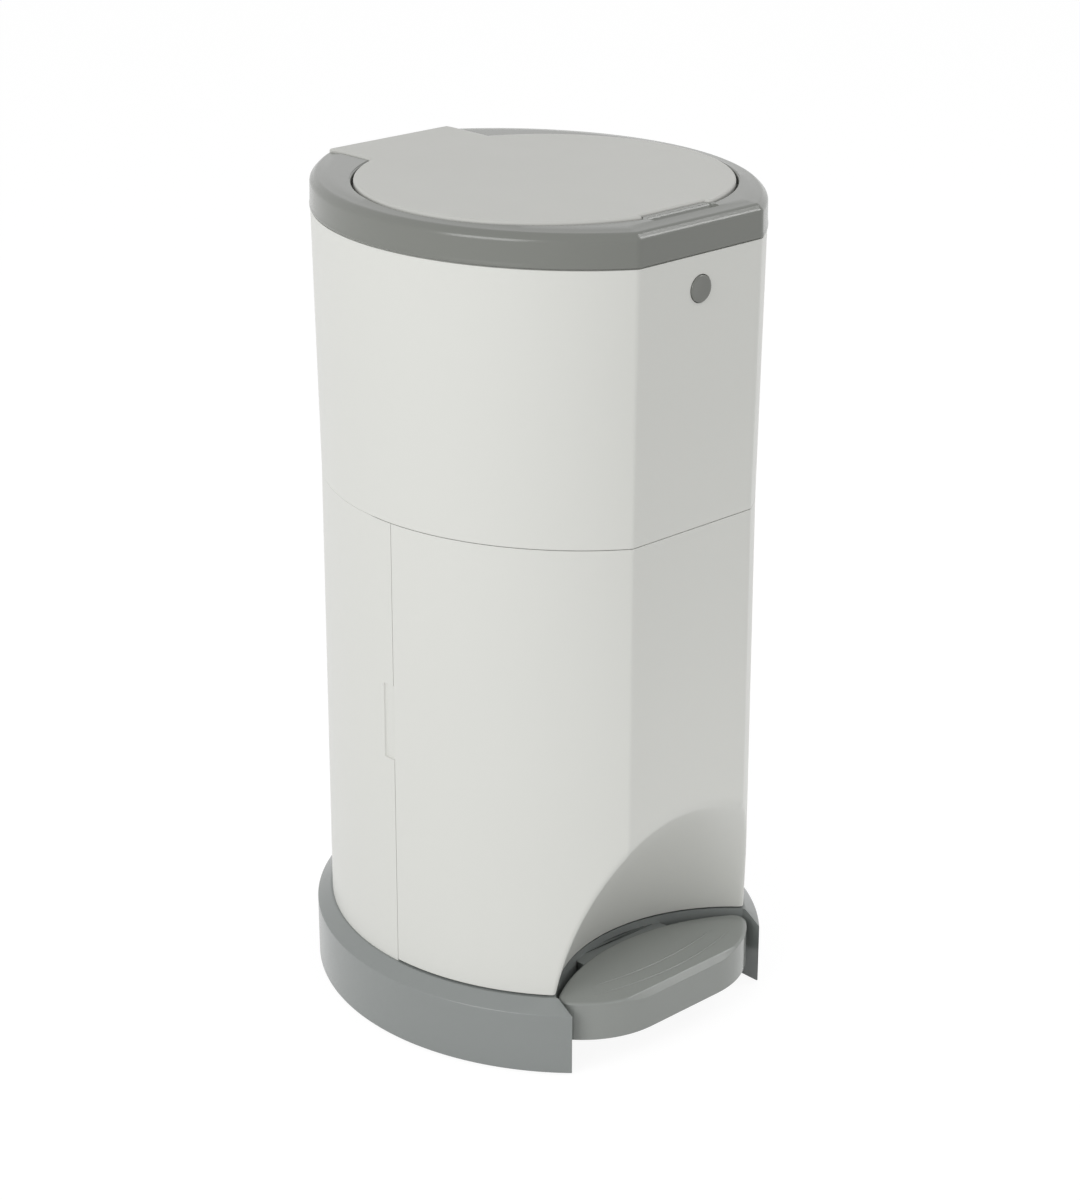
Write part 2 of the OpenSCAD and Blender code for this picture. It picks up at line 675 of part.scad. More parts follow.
tail_wall = 2.2;
module lid_cover() {
    side_low = plate_low - 3.2;
    tail_back = rear_y - 0.5;
    color([0.76, 0.76, 0.74]) place() difference() {
        union() {
            turned([
                [0, plate_low], [lid_r - 3, plate_low], [lid_r - 3, lid_low], [lid_r - 0.6, lid_low],
                [lid_r, lid_low + 0.6], [lid_r, lid_top - 2], [lid_r - 0.6, lid_top - 0.7],
                [lid_r - 2, lid_top], [0, lid_top]]);
            box([-tail_w / 2, 60, plate_low], [tail_w / 2, tail_back, lid_top]);
            both() box([tail_w / 2 - tail_wall, tail_front + 2, side_low],
                [tail_w / 2, tail_back, plate_low + eps]);
            box([-finger_w / 2 - tail_wall, -finger_y - tail_wall, lid_low],
                [finger_w / 2 + tail_wall, -finger_y + tail_wall, plate_low + eps]);
            box([-ear_x + 0.8, tail_back - tail_wall, hinge_axis_z - 7],
                [ear_x - 0.8, tail_back, plate_low + eps]);
        }
        intersection() {
            box([-tail_w / 2 + tail_wall, tail_front, lid_low - past],
                [tail_w / 2 - tail_wall, lid_r + past, plate_low]);
            post(lid_r + past, lid_low - past, plate_low, 0, 0);
        }
        box([-finger_w / 2, -lid_r - past, lid_low - past], [finger_w / 2, -finger_y, lid_top + past]);
        rod_x(hinge_pin_r + run_fit, -half_w, half_w, hinge_y, hinge_axis_z);
    }
}
module lid_seal() {
    color([0.2, 0.2, 0.2]) place() turned([
        [mouth_r + 6, plate_low], [mouth_r + 7, seat_z + 0.6], [mouth_r + 9, seat_z + 0.4],
        [mouth_r + 12, seat_z + 1.6], [mouth_r + 13, plate_low]]);
}
module lid_plunger() {
    low = lid_top - plunger_depth;
    t = 2;
    color([0.9, 0.9, 0.89]) place() turned([
        [0, low], [plunger_r - 8, low], [plunger_r - 2, low + 3], [plunger_r, low + 9],
        [plunger_r, plate_low], [plunger_r - t, plate_low], [plunger_r - t, low + 9],
        [plunger_r - 4, low + 5], [plunger_r - 9, low + t], [0, low + t]]);
}
bracket_t = 2.5;
roller_y = hinge_y - crank_r * cos(40);
roller_z = hinge_axis_z - crank_r * sin(40);
roller_r = 4;
roller_w = 9;
web_t = 3;
module lid_bracket() {
    low = plate_low - bracket_t;
    ear_in = ear_x - 11;
    color([0.6, 0.61, 0.6]) place() difference() {
        union() {
            box([-ear_x + 1, roller_y - 9, low], [ear_x - 1, hinge_y + 5, plate_low]);
            both() {
                rod_x(ear_r, ear_in, ear_x - 1, hinge_y, hinge_axis_z);
                side_profile(roller_w / 2 + 0.5, roller_w / 2 + 0.5 + web_t, [
                    [roller_y - 9, plate_low - 1], [roller_y - 5, roller_z],
                    [roller_y - 2, roller_z - 4.5], [roller_y + 2, roller_z - 4.5],
                    [roller_y + 5, roller_z], [hinge_y - 6, plate_low - 1]]);
            }
        }
        rod_x(hinge_pin_r + run_fit, -half_w, half_w, hinge_y, hinge_axis_z);
        rod_x(screw_r + press_fit, -20, 20, roller_y, roller_z);
    }
}
module roller_pin() {
    color("silver") place() rod_x(screw_r, -roller_w / 2 - web_t - 0.5, roller_w / 2 + web_t + 0.5,
        roller_y, roller_z);
}
module crank_roller() {
    color([0.9, 0.9, 0.88]) place() difference() {
        rod_x(roller_r, -roller_w / 2, roller_w / 2, roller_y, roller_z);
        rod_x(screw_r + press_fit, -roller_w, roller_w, roller_y, roller_z);
    }
}
module hinge_pin() { color("silver") place() rod_x(hinge_pin_r, -pin_end, pin_end, hinge_y, hinge_axis_z); }

/* Pedal and push rod */
rod_play = 0.8;
foot_play = 0.6;
nose_r = 5.6;
nose_w = 18;
nose_z = pivot_z - 15.6;
foot_z = nose_z + nose_r + foot_play;
rod_top = roller_z - roller_r - rod_play;
module push_rod() {
    tongue_w = roller_w - 0.8;
    color([0.75, 0.75, 0.74]) place() union() {
        box([-rod_w / 2, rod_y0, foot_z], [rod_w / 2, rod_y0 + rod_t, rod_top - 20]);
        box([-rod_w / 2 - 2, rod_y0 - 4, foot_z], [rod_w / 2 + 2, rod_y0 + rod_t + 3, foot_z + 4]);
        box([-tongue_w / 2, rod_y0, rod_top - 20 - eps], [tongue_w / 2, rod_y0 + rod_t, rod_top]);
        side_profile(-tongue_w / 2, tongue_w / 2, [
            [rod_y0 + eps, rod_top - 8], [rod_y0 - 2, rod_top - 3], [rod_y0 - 2, rod_top],
            [rod_y0 + rod_t + 2, rod_top], [rod_y0 + rod_t + 2, rod_top - 3],
            [rod_y0 + rod_t - eps, rod_top - 8]]);
    }
}
tread_top = base_h - 3.5;
tread_low = tread_top - tread_h;
tread_gap = 2;
tread_end_r = 9;
tread_chamfer = 4.5;
tread_t = 3;
tread_front_y = front_y - tread_proud;
tread_mid_y = tread_front_y + 33;
module tread_form(inset, low, high, chamfer) {
    intersection() {
        union() {
            post(tread_front_r - inset, low, high - chamfer, 0, tread_front_y + tread_front_r);
            translate([0, tread_front_y + tread_front_r, high - chamfer])
                cylinder(r1 = tread_front_r - inset, r2 = tread_front_r - inset - chamfer * 1.3,
                    h = chamfer);
        }
        post(recess_r - tread_gap - inset, low, high, 0, recess_y);
        union() {
            box([-tread_w / 2 + tread_end_r, tread_mid_y - 60, low],
                [tread_w / 2 - tread_end_r, tread_mid_y + 60, high]);
            box([-tread_w / 2 + inset, recess_y, low], [tread_w / 2 - inset, recess_y + 72, high]);
            both() post(tread_end_r - inset, low, high, tread_w / 2 - tread_end_r, recess_y + 72);
        }
    }
}
tread_rib_w = 1.2;
tread_rib_h = 0.7;
// A raised rib bowed like the tread's front edge: its radius, distance behind that edge, and half its width
module tread_rib(r, back, reach) {
    intersection() {
        translate([0, tread_front_y + back + r, 0]) difference() {
            post(r + tread_rib_w / 2, tread_top - 1, tread_top + tread_rib_h, 0, 0);
            post(r - tread_rib_w / 2, tread_top - 2, tread_top + 2, 0, 0);
        }
        box([-reach, tread_front_y, tread_top - 1], [reach, tread_mid_y + 20, tread_top + 2]);
    }
}
module pedal_tread() {
    color([0.5, 0.52, 0.51]) place() difference() {
        union() {
            tread_form(0, tread_low, tread_top, tread_chamfer);
            tread_rib(tread_front_r + 52, 23.5, 53);
            tread_rib(tread_front_r + 18, 12, 62);
        }
        tread_form(tread_t, tread_low - past, tread_top - tread_t, tread_chamfer);
        both() box([arm_x - arm_w / 2 - 1, tread_mid_y, tread_low - past],
            [arm_x + arm_w / 2 + 1, 0, tread_top - 8]);
    }
}
hub_r = 7;
arm_top = tread_top - 10;
lever_w = 2 * lug_x - 1;
lever_pad_y = tread_mid_y - 16;
module lever_screw_places() { both() translate([arm_x - 12, lever_pad_y + 9, 0]) children(); }
module pedal_lever() {
    color([0.45, 0.47, 0.46]) place() difference() {
        union() {
            both() side_profile(arm_x - arm_w / 2, arm_x + arm_w / 2, [
                [lever_pad_y, tread_top - tread_t], [lever_pad_y, pivot_z + 2],
                [pivot_y - 4, pivot_z - 6], [pivot_y + 2, pivot_z - hub_r + 1],
                [pivot_y + 2, pivot_z + 6], [pivot_y - 22, arm_top], [lever_pad_y + 22, arm_top],
                [lever_pad_y + 20, tread_top - tread_t]]);
            box([-arm_x, lever_pad_y, tread_top - tread_t - 4], [arm_x, lever_pad_y + 18,
                tread_top - tread_t]);
            rod_x(hub_r, -lever_w / 2, lever_w / 2, pivot_y, pivot_z);
            side_profile(-nose_w / 2, nose_w / 2, [
                [pivot_y, pivot_z + hub_r - 1], [pivot_y + 30, pivot_z - 1],
                [rod_mid - 8, nose_z + 3], [rod_mid, nose_z + 3], [rod_mid, nose_z - 4],
                [pivot_y + 30, nose_z - 1], [pivot_y, pivot_z - hub_r + 1]]);
            rod_x(nose_r, -nose_w / 2, nose_w / 2, rod_mid, nose_z);
        }
        rod_x(pedal_pin_r + run_fit, -half_w, half_w, pivot_y, pivot_z);
        both() side_profile(4, 10, [[pivot_y + 14, pivot_z - 2], [rod_mid - 14, nose_z + 1],
            [rod_mid - 14, nose_z + 20], [pivot_y + 14, pivot_z + 10]]);
        lever_screw_places() post(screw_r + press_fit, tread_top - tread_t - 6,
            tread_top - tread_t + past, 0, 0);
    }
}
module pedal_screws() {
    color("silver") place() lever_screw_places() {
        post(screw_r, tread_top - tread_t - 5, tread_top - tread_t, 0, 0);
        post(screw_head_r, tread_top - tread_t - 4 - screw_head_h, tread_top - tread_t - 4, 0, 0);
    }
}
module pedal_pin() {
    color("silver") place() rod_x(pedal_pin_r, -lug_x - lug_t, lug_x + lug_t, pivot_y, pivot_z);
}

/* Front button */
button_proud = 0.8;
flange_y = front_y + wall + 0.5;
flange_t = 2;
module front_button() {
    color([0.45, 0.46, 0.45]) place() difference() {
        union() {
            rod_y(button_r, front_y - button_proud, flange_y + eps, 0, button_z);
            rod_y(button_r + 1.6, flange_y, flange_y + flange_t, 0, button_z);
            rod_y(stem_r, flange_y, guide_back + stem_out, 0, button_z);
        }
        translate([0, front_y - button_proud - 39, button_z]) sphere(r = 39.6);
    }
}
module button_spring() {
    y0 = flange_y + flange_t + button_travel + 0.2;
    color([0.6, 0.6, 0.6]) place() translate([0, y0, button_z]) rotate([-90, 0, 0])
        coil(7, 0.6, guide_back - 2.2 - y0, 4);
}

/* Door */
scoop_y = front_y + recess_depth - scoop_r / cos(scoop_lean) - 1;
module scoop(grow) {
    translate([0, scoop_y, base_h]) rotate([scoop_lean, 0, 0]) translate([0, 0, -150])
        cylinder(r = scoop_r + grow, h = 420);
}
module door_panel() {
    color([0.87, 0.87, 0.85]) place() difference() {
        union() {
            intersection() {
                union() {
                    lower_shell(door_low);
                    intersection() {
                        loft([[door_low, lower_off(door_low) - 0.5],
                            [base_h + 120, lower_off(base_h + 120) - 0.5]]);
                        scoop(wall);
                    }
                    intersection() {
                        loft([[door_low, lower_off(door_low) - 1],
                            [lower_top, lower_off(lower_top) - 1]]);
                        both() box([half_w - wall - 5, -jamb_gap - 3, tray_top + 2],
                            [half_w, past, lower_top]);
                    }
                }
                box([-half_w - 5, front_y - 5, door_low - past],
                    [half_w + 5, -jamb_gap, lower_top + past]);
            }
            hinge_places() middle_knuckle(knuckle_r, 0);
        }
        scoop(0);
        hinge_places() end_knuckles(knuckle_r + knuckle_clear, knuckle_gap);
        hinge_places() post(door_pin_r + run_fit, -hinge_reach - past, hinge_reach + past, 0, 0);
    }
}
module door_hinge_pins() {
    color("silver") place() hinge_places() post(door_pin_r, -hinge_reach, hinge_reach, 0, 0);
}
catch_x = jamb_x - 2.5;
catch_h = 22;
module door_catch() {
    color([0.6, 0.61, 0.6]) place() union() {
        box([-catch_x - 1, -16, notch_z - catch_h / 2], [-catch_x + 1, 6, notch_z + catch_h / 2]);
        box([-catch_x - 1, -16, notch_z - catch_h / 2], [-catch_x + 2, -12, notch_z + catch_h / 2]);
        intersection() {
            lower_inner();
            box([-half_w, -16, notch_z - catch_h / 2], [-catch_x, -13, notch_z + catch_h / 2]);
        }
    }
}
module lower_inner() {
    loft([[base_h, lower_off(base_h) - wall - 0.1], [lower_top, lower_off(lower_top) - wall - 0.1]]);
}
module catch_keeper() {
    gap = 1.2;
    color([0.6, 0.61, 0.6]) place() union() {
        box([-catch_x + 1 + gap, jamb_gap, notch_z - catch_h / 2 - 4],
            [-catch_x + 4 + gap, 9, notch_z + catch_h / 2 + 4]);
        for (s = [-1, 1]) translate([0, 0, notch_z + s * (catch_h / 2 + 3)])
            box([-notch_out + notch_in + notch_wall, jamb_gap + jamb_t, -1],
                [-catch_x + 1 + gap + eps, 9, 1]);
    }
}
cutter_x = -flat_x / 2;
cutter_z = mid_seam - 45;
module cutter_holder() {
    color([0.45, 0.47, 0.46]) place() intersection() {
        lower_inner();
        difference() {
            box([cutter_x - 16, front_y - 1, cutter_z - 20], [cutter_x + 16, front_y + 17, cutter_z + 20]);
            side_profile(cutter_x - 20, cutter_x + 20, [
                [front_y + 30, cutter_z - 3], [front_y + 8, cutter_z + 1],
                [front_y + 8, cutter_z + 3], [front_y + 30, cutter_z + 9]]);
            box([cutter_x - 9.1, front_y + 6, cutter_z - 8.1],
                [cutter_x + 9.1, front_y + 6.8, cutter_z + 12.1]);
        }
    }
}
module cutter_blade() {
    color("silver") place() difference() {
        box([cutter_x - 9, front_y + 6.1, cutter_z - 8], [cutter_x + 9, front_y + 6.7, cutter_z + 12]);
        rod_y(2, front_y, front_y + 10, cutter_x, cutter_z - 3);
    }
}

base_skirt();
rubber_feet();
floor_tray();
base_screws();
lower_housing();
upper_housing();
rod_channel();
rod_guide();
liner_deck();
deck_screws();
chute();
refill_cassette();
refill_film();
trap_frame();
trap_pin_left();
trap_pin_right();
trap_spring_left();
trap_spring_right();
flap_left();
flap_right();
flap_lip_left();
flap_lip_right();
hinge_pin();
hood_rim();
hood_hook();
lid_cover();
lid_seal();
lid_plunger();
lid_bracket();
roller_pin();
crank_roller();
push_rod();
pedal_tread();
pedal_lever();
pedal_screws();
pedal_pin();
front_button();
button_spring();
door_panel();
door_hinge_pins();
door_catch();
catch_keeper();
cutter_holder();
cutter_blade();
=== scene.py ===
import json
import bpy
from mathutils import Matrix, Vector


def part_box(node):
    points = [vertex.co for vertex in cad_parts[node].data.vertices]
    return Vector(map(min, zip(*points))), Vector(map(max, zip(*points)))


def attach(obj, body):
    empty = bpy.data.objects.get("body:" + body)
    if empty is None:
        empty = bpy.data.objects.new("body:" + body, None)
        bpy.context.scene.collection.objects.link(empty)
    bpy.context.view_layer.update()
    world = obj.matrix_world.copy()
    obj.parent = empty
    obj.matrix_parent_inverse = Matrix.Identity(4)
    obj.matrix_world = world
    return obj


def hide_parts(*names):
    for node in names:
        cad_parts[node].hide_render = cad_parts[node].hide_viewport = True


bl_info = {
    "name": "Pedal nappy bin",
    "version": (1, 0, 0),
    "blender": (4, 5, 0),
    "location": "View3D > Sidebar > Nappy bin",
    "description": "Builds the finished pieces of a pedal nappy bin around its packed frame",
    "category": "Add Mesh",
}

from contextlib import contextmanager
from functools import partial
from math import acos, asin, atan2, cos, degrees, hypot, pi, radians, sin, sqrt, tan, tau

import bmesh
import bpy
from bpy.props import FloatProperty, FloatVectorProperty, IntProperty, PointerProperty
from mathutils import Matrix, Vector

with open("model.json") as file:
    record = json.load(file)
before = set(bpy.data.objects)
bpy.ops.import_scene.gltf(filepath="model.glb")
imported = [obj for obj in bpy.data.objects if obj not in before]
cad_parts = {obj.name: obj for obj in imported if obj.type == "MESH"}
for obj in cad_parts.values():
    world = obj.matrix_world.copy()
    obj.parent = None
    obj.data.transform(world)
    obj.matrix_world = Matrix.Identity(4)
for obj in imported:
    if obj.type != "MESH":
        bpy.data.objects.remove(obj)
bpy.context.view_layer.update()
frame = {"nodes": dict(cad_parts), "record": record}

MM = 0.001


# Sizes read from the frame, in millimetres
def low(node):
    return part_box(node)[0] / MM


def high(node):
    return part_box(node)[1] / MM


def middle(node):
    return (low(node) + high(node)) / 2


LID_MIDDLE_Y = middle("chute").y
LID_TOP = high("lid_cover").z
HALF_WIDTH = high("upper_housing").x
BODY_FRONT = low("upper_housing").y - LID_MIDDLE_Y
BODY_REAR = high("upper_housing").y - LID_MIDDLE_Y
MIDDLE_Y = (BODY_REAR + BODY_FRONT) / 2
UPPER_LOW = high("door_panel").z + 0.55
HOOD_LOW = LID_TOP - 23.2
UPPER_TOP = HOOD_LOW - 0.85
DOOR_LOW = low("door_panel").z
LOWER_LOW = low("lower_housing").z
LOWER_TOP = high("door_panel").z + 0.15
HINGE = middle("hinge_pin")


class BinShape(bpy.types.PropertyGroup):
    """Sizes that a user would change"""

    side_radius: FloatProperty(name="Side radius", description="Radius of the bowed sides, mm", default=165.0)
    corner_radius: FloatProperty(name="Corner radius", description="Radius where a flat meets a side, mm", default=7.0)
    wall: FloatProperty(name="Wall", description="Thickness of the moulded walls, mm", default=2.5)
    waist: FloatProperty(name="Waist", description="How far the body draws in at the seam, mm", default=2.2)
    foot: FloatProperty(name="Foot", description="How far the body draws in at the base, mm", default=0.8)
    edge: FloatProperty(name="Edge radius", description="Radius of a moulded edge, mm", default=0.3)
    seam: FloatProperty(name="Seam", description="Visible gap along a seam, mm", default=0.4)
    door_seam: FloatProperty(name="Door seam", description="Visible gap beside the door, mm", default=0.24)
    finger_width: FloatProperty(name="Finger edge", description="Width of the lid's straight edge, mm", default=54.0)
    scoop_blend: FloatProperty(name="Scoop edge", description="Width of the toe scoop's edge, mm", default=1.7)
    side_steps: IntProperty(name="Side steps", description="Steps round a bowed side", default=72)
    corner_steps: IntProperty(name="Corner steps", description="Steps round a corner", default=8)


Colour = partial(FloatVectorProperty, subtype="COLOR", size=3)


class BinFinish(bpy.types.PropertyGroup):
    """Colours of the mouldings, linear"""

    body: Colour(name="Body", description="Body shells and door", default=(0.700, 0.705, 0.670))
    lid: Colour(name="Lid", description="Lid", default=(0.585, 0.587, 0.558))
    hood: Colour(name="Hood", description="Hood around the lid", default=(0.194, 0.201, 0.183))
    base: Colour(name="Base", description="Base ring", default=(0.252, 0.268, 0.262))
    pedal: Colour(name="Pedal", description="Pedal tread", default=(0.278, 0.292, 0.277))
    button: Colour(name="Button", description="Front button", default=(0.185, 0.190, 0.174))
    liner: Colour(name="Liner parts", description="Chute, deck and plunger", default=(0.620, 0.625, 0.600))
    works: Colour(name="Works", description="Lever, brackets and flaps", default=(0.150, 0.158, 0.155))
    refill: Colour(name="Refill", description="Refill ring", default=(0.060, 0.165, 0.270))


class BinStage(bpy.types.PropertyGroup):
    """Camera, lamps and backdrop"""

    azimuth: FloatProperty(name="Azimuth", description="Camera's turn from the front, degrees", default=-42.892)
    elevation: FloatProperty(name="Elevation", description="Camera's height angle, degrees", default=22.021)
    distance: FloatProperty(name="Distance", description="Camera's distance from its aim, mm", default=1590.0)
    aim: FloatVectorProperty(name="Aim", description="Point the camera looks at, from the lid's middle, mm", size=3,
                             default=(-111.94, -116.43, 328.68))
    focal_pixels: FloatProperty(name="Focal length", description="Focal length in photograph pixels", default=2762.41)
    frame_height: FloatProperty(name="Frame height", description="Height of the photograph, pixels", default=1200.0)
    key: FloatProperty(name="Key lamp", description="Strength of the lamp at the left, W", default=34.0)
    glint: FloatProperty(name="Glint lamp", description="Strength of the lamp at the upper right, W", default=10.5)
    fill: FloatProperty(name="Fill lamp", description="Strength of the narrow lamp on the toe scoop, W", default=0.024)
    world: FloatProperty(name="World", description="Strength of the world's light", default=0.54)
    floor_glow: FloatProperty(name="Floor share", description="Share of plain white in the floor", default=0.85)


def shape():
    return bpy.context.scene.bin_shape


# Nodes
def add_node(tree, kind, inputs=None, **settings):
    """Adds a node; inputs are sockets to link or plain values."""
    node = tree.nodes.new(kind)
    for key, value in settings.items():
        setattr(node, key, value)
    for key, value in (inputs or {}).items():
        if isinstance(value, bpy.types.NodeSocket):
            tree.links.new(value, node.inputs[key])
        else:
            node.inputs[key].default_value = value
    return node


def shading(tree, kind, inputs=None, **settings):
    """First output of a new shader node."""
    return add_node(tree, "ShaderNode" + kind, inputs, **settings).outputs[0]


def geo(tree, kind, inputs=None, **settings):
    """First output of a new geometry node."""
    return add_node(tree, "GeometryNode" + kind, inputs, **settings).outputs[0]


def sums(tree, operation, a, b=0.0):
    return shading(tree, "Math", {0: a, 1: b}, operation=operation)


# Materials
def new_material(name):
    material = bpy.data.materials.new(name)
    material.use_nodes = True
    material.node_tree.nodes.clear()
    return material, material.node_tree


def show(tree, surface, kind="Material"):
    add_node(tree, "ShaderNodeOutput" + kind, {"Surface": surface})


def noise(tree, coords, scale, detail, rough=0.5):
    return shading(tree, "TexNoise", {"Scale": scale, "Detail": detail, "Roughness": rough, "Vector": coords})


def procedural(name, colour, spread, mottle, sheen, bumps=(), metallic=0.0):
    """A surface from noises: mottle (scale, detail), sheen (scale, detail, least, most roughness) and
    bumps (scale, detail, roughness, strength, distance), the broad one first."""
    material, tree = new_material(name)
    coords = tree.nodes.new("ShaderNodeTexCoord").outputs["Object"]
    mix = add_node(tree, "ShaderNodeMix", {
        "A": (*[c * (1 - spread) for c in colour], 1), "B": (*[min(1, c * (1 + spread)) for c in colour], 1),
        "Factor": noise(tree, coords, *mottle)}, data_type="RGBA")
    scale, detail, least, most = sheen
    rough = least
    if scale:
        uneven = noise(tree, coords, scale, detail)
        rough = shading(tree, "MapRange", {"Value": uneven, "To Min": least, "To Max": most})
    look = {"Base Color": mix.outputs["Result"], "Roughness": rough, "Metallic": metallic}
    for *grain, strength, distance in bumps:
        bump = {"Strength": strength, "Distance": distance, "Height": noise(tree, coords, *grain)}
        if "Normal" in look:
            bump["Normal"] = look["Normal"]
        look["Normal"] = shading(tree, "Bump", bump)
    show(tree, shading(tree, "BsdfPrincipled", look))
    return material


def moulded(name, colour, gloss, grain, spread, swell=0.0):
    """Moulded plastic: a fine spark-eroded grain, faint flow mottling and a slightly uneven sheen."""
    broad = [(16.0, 1.0, 0.5, swell, 0.0006)] if swell else []
    return procedural(name, colour, spread, (9.0, 4.0), (38.0, 3.0, gloss - 0.035, gloss + 0.035),
                      broad + [(2600.0, 2.0, 0.6, grain, 0.00008)])


MATERIALS = {}
# Slot: property with its colour, roughness, grain, spread of the colour, swell
PLASTICS = {
    "body_white": ("body", 0.36, 0.12, 0.008, 0.05),
    "lid_white": ("lid", 0.5, 0.5, 0.012),
    "hood_grey": ("hood", 0.2, 0.22, 0.03, 0.1),
    "base_grey": ("base", 0.24, 0.22, 0.03, 0.1),
    "pedal_grey": ("pedal", 0.14, 0.18, 0.03, 0.08),
    "button_grey": ("button", 0.22, 0.2, 0.03),
    "inner_white": ("liner", 0.5, 0.4, 0.02),
    "inner_grey": ("works", 0.48, 0.4, 0.04),
    "refill_blue": ("refill", 0.4, 0.3, 0.04),
}
# Dusty rubber, thin film and zinc-plated steel
OTHERS = {
    "rubber_black": ((0.028, 0.028, 0.029), 0.3, (45.0, 5.0), (120.0, 4.0, 0.62, 0.8),
                     [(900.0, 3.0, 0.5, 0.3, 0.0002)]),
    "film_clear": ((0.55, 0.66, 0.72), 0.08, (90.0, 4.0), (0, 0, 0.3, 0.3), [(240.0, 4.0, 0.5, 0.5, 0.0008)]),
    "steel": ((0.55, 0.55, 0.56), 0.05, (60.0, 4.0), (400.0, 5.0, 0.26, 0.42), (), 1.0),
}


def make_materials():
    for slot, (part, *look) in PLASTICS.items():
        MATERIALS[slot] = moulded(slot, getattr(bpy.context.scene.bin_finish, part), *look)
    for slot, look in OTHERS.items():
        MATERIALS[slot] = procedural(slot, *look)


SLOT_OF = {part["node"]: part["material_slot"] for part in frame["record"]["subparts"]}


# Meshes, in millimetres from the lid's middle on the floor
def put(name, mesh):
    piece = bpy.data.objects.new(name, mesh)
    bpy.context.scene.collection.objects.link(piece)
    return piece


def mesh_from(name, bm):
    mesh = bpy.data.meshes.new(name)
    bm.to_mesh(mesh)
    bm.free()
    return mesh


@contextmanager
def editing(piece):
    """The piece's mesh as a bmesh, written back at the end."""
    bm = bmesh.new()
    bm.from_mesh(piece.data)
    yield bm
    bm.to_mesh(piece.data)
    bm.free()


def to_object(name, bm):
    """Turns a bmesh in millimetres into an object in metres, with its place in its mesh."""
    bm.transform(Matrix.Translation((0, LID_MIDDLE_Y * MM, 0)) @ Matrix.Scale(MM, 4))
    bmesh.ops.recalc_face_normals(bm, faces=bm.faces)
    piece = put(name, mesh_from(name, bm))
    shade(piece)
    return piece


def shade(piece):
    piece.data.shade_smooth()
    piece.data.set_sharp_from_angle(angle=radians(30))


def arc_points(centre, radius, start, end, steps, first=0, last=None):
    points = []
    for i in range(first, (steps if last is None else last) + 1):
        a = radians(start + (end - start) * i / steps)
        points.append((centre[0] + radius * cos(a), centre[1] + radius * sin(a)))
    return points


def plan(offset):
    """Outline of the body's plan, moved out by offset, counterclockwise from the right front corner."""
    s = shape()
    n, k = s.side_steps, s.corner_steps
    shift = s.side_radius - HALF_WIDTH
    r = s.side_radius + offset
    c = max(s.corner_radius + offset, 1)
    fy = (BODY_REAR - BODY_FRONT) / 2 + offset - c
    fx = sqrt((r - c) ** 2 - fy ** 2) - shift
    a = degrees(atan2(fy, fx + shift))
    return (arc_points((-shift, MIDDLE_Y), r, -a, a, n)
            + arc_points((fx, MIDDLE_Y + fy), c, a, 90, k, 1)
            + arc_points((-fx, MIDDLE_Y + fy), c, 90, 180 - a, k, 0, k - 1)
            + arc_points((shift, MIDDLE_Y), r, 180 - a, 180 + a, n)
            + arc_points((-fx, MIDDLE_Y - fy), c, 180 + a, 270, k, 1)
            + arc_points((fx, MIDDLE_Y - fy), c, 270, 360 - a, k, 0, k - 1))


def add_rings(bm, rings, close_stack=False):
    """Joins rings of points, equal in number, with quads; returns the rings of vertices."""
    stack = [[bm.verts.new(p) for p in ring] for ring in rings]
    count = len(stack[0])
    pairs = list(zip(stack, stack[1:]))
    if close_stack:
        pairs.append((stack[-1], stack[0]))
    for lower, upper in pairs:
        for i in range(count):
            j = (i + 1) % count
            bm.faces.new((lower[i], lower[j], upper[j], upper[i]))
    return stack


def loft(levels, closed_loop=False):
    """Bmesh lofted through the plan at each (height, offset); a closed loop makes a hollow ring."""
    bm = bmesh.new()
    rings = [[(x, y, z) for x, y in plan(offset)] for z, offset in levels]
    stack = add_rings(bm, rings, close_stack=closed_loop)
    if not closed_loop:
        bm.faces.new(list(reversed(stack[0])))
        bm.faces.new(stack[-1])
    return bm


def lathe(profile, steps, closed_loop=True):
    """Bmesh turned about the vertical, from (radius, height) points."""
    bm = bmesh.new()
    rings = [[(radius * cos(tau * i / steps), radius * sin(tau * i / steps), z) for i in range(steps)]
             for radius, z in profile]
    add_rings(bm, rings, close_stack=closed_loop)
    bmesh.ops.remove_doubles(bm, verts=bm.verts, dist=0.0005)
    return bm


def rounded_box(low_corner, high_corner, radius=0.0, steps=2):
    bm = bmesh.new()
    bmesh.ops.create_cube(bm, size=1.0)
    lo, hi = Vector(map(min, low_corner, high_corner)), Vector(map(max, low_corner, high_corner))
    for v in bm.verts:
        v.co = Vector([(lo[i] + hi[i]) / 2 + v.co[i] * (hi[i] - lo[i]) for i in range(3)])
    if radius:
        bmesh.ops.bevel(bm, geom=bm.edges[:], offset=radius, segments=steps, profile=0.5, affect="EDGES")
    return bm


def bar(radius, start, end, axis, steps=48, edge=0.0):
    """Round bar along axis 0, 1 or 2 between two points, its ends rounded by edge."""
    length = end[axis] - start[axis]
    half = [(0, 0), (radius, 0)]
    if edge:
        half = [(0, 0), (radius - edge, 0), (radius - edge * 0.3, edge * 0.3), (radius, edge)]
    profile = half + [(r, length - z) for r, z in reversed(half)]
    turn = (Matrix.Rotation(pi / 2, 4, "Y"), Matrix.Rotation(-pi / 2, 4, "X"), Matrix.Identity(4))[axis]
    bm = lathe(profile, steps, closed_loop=False)
    bm.transform(Matrix.Translation(start) @ turn)
    return bm


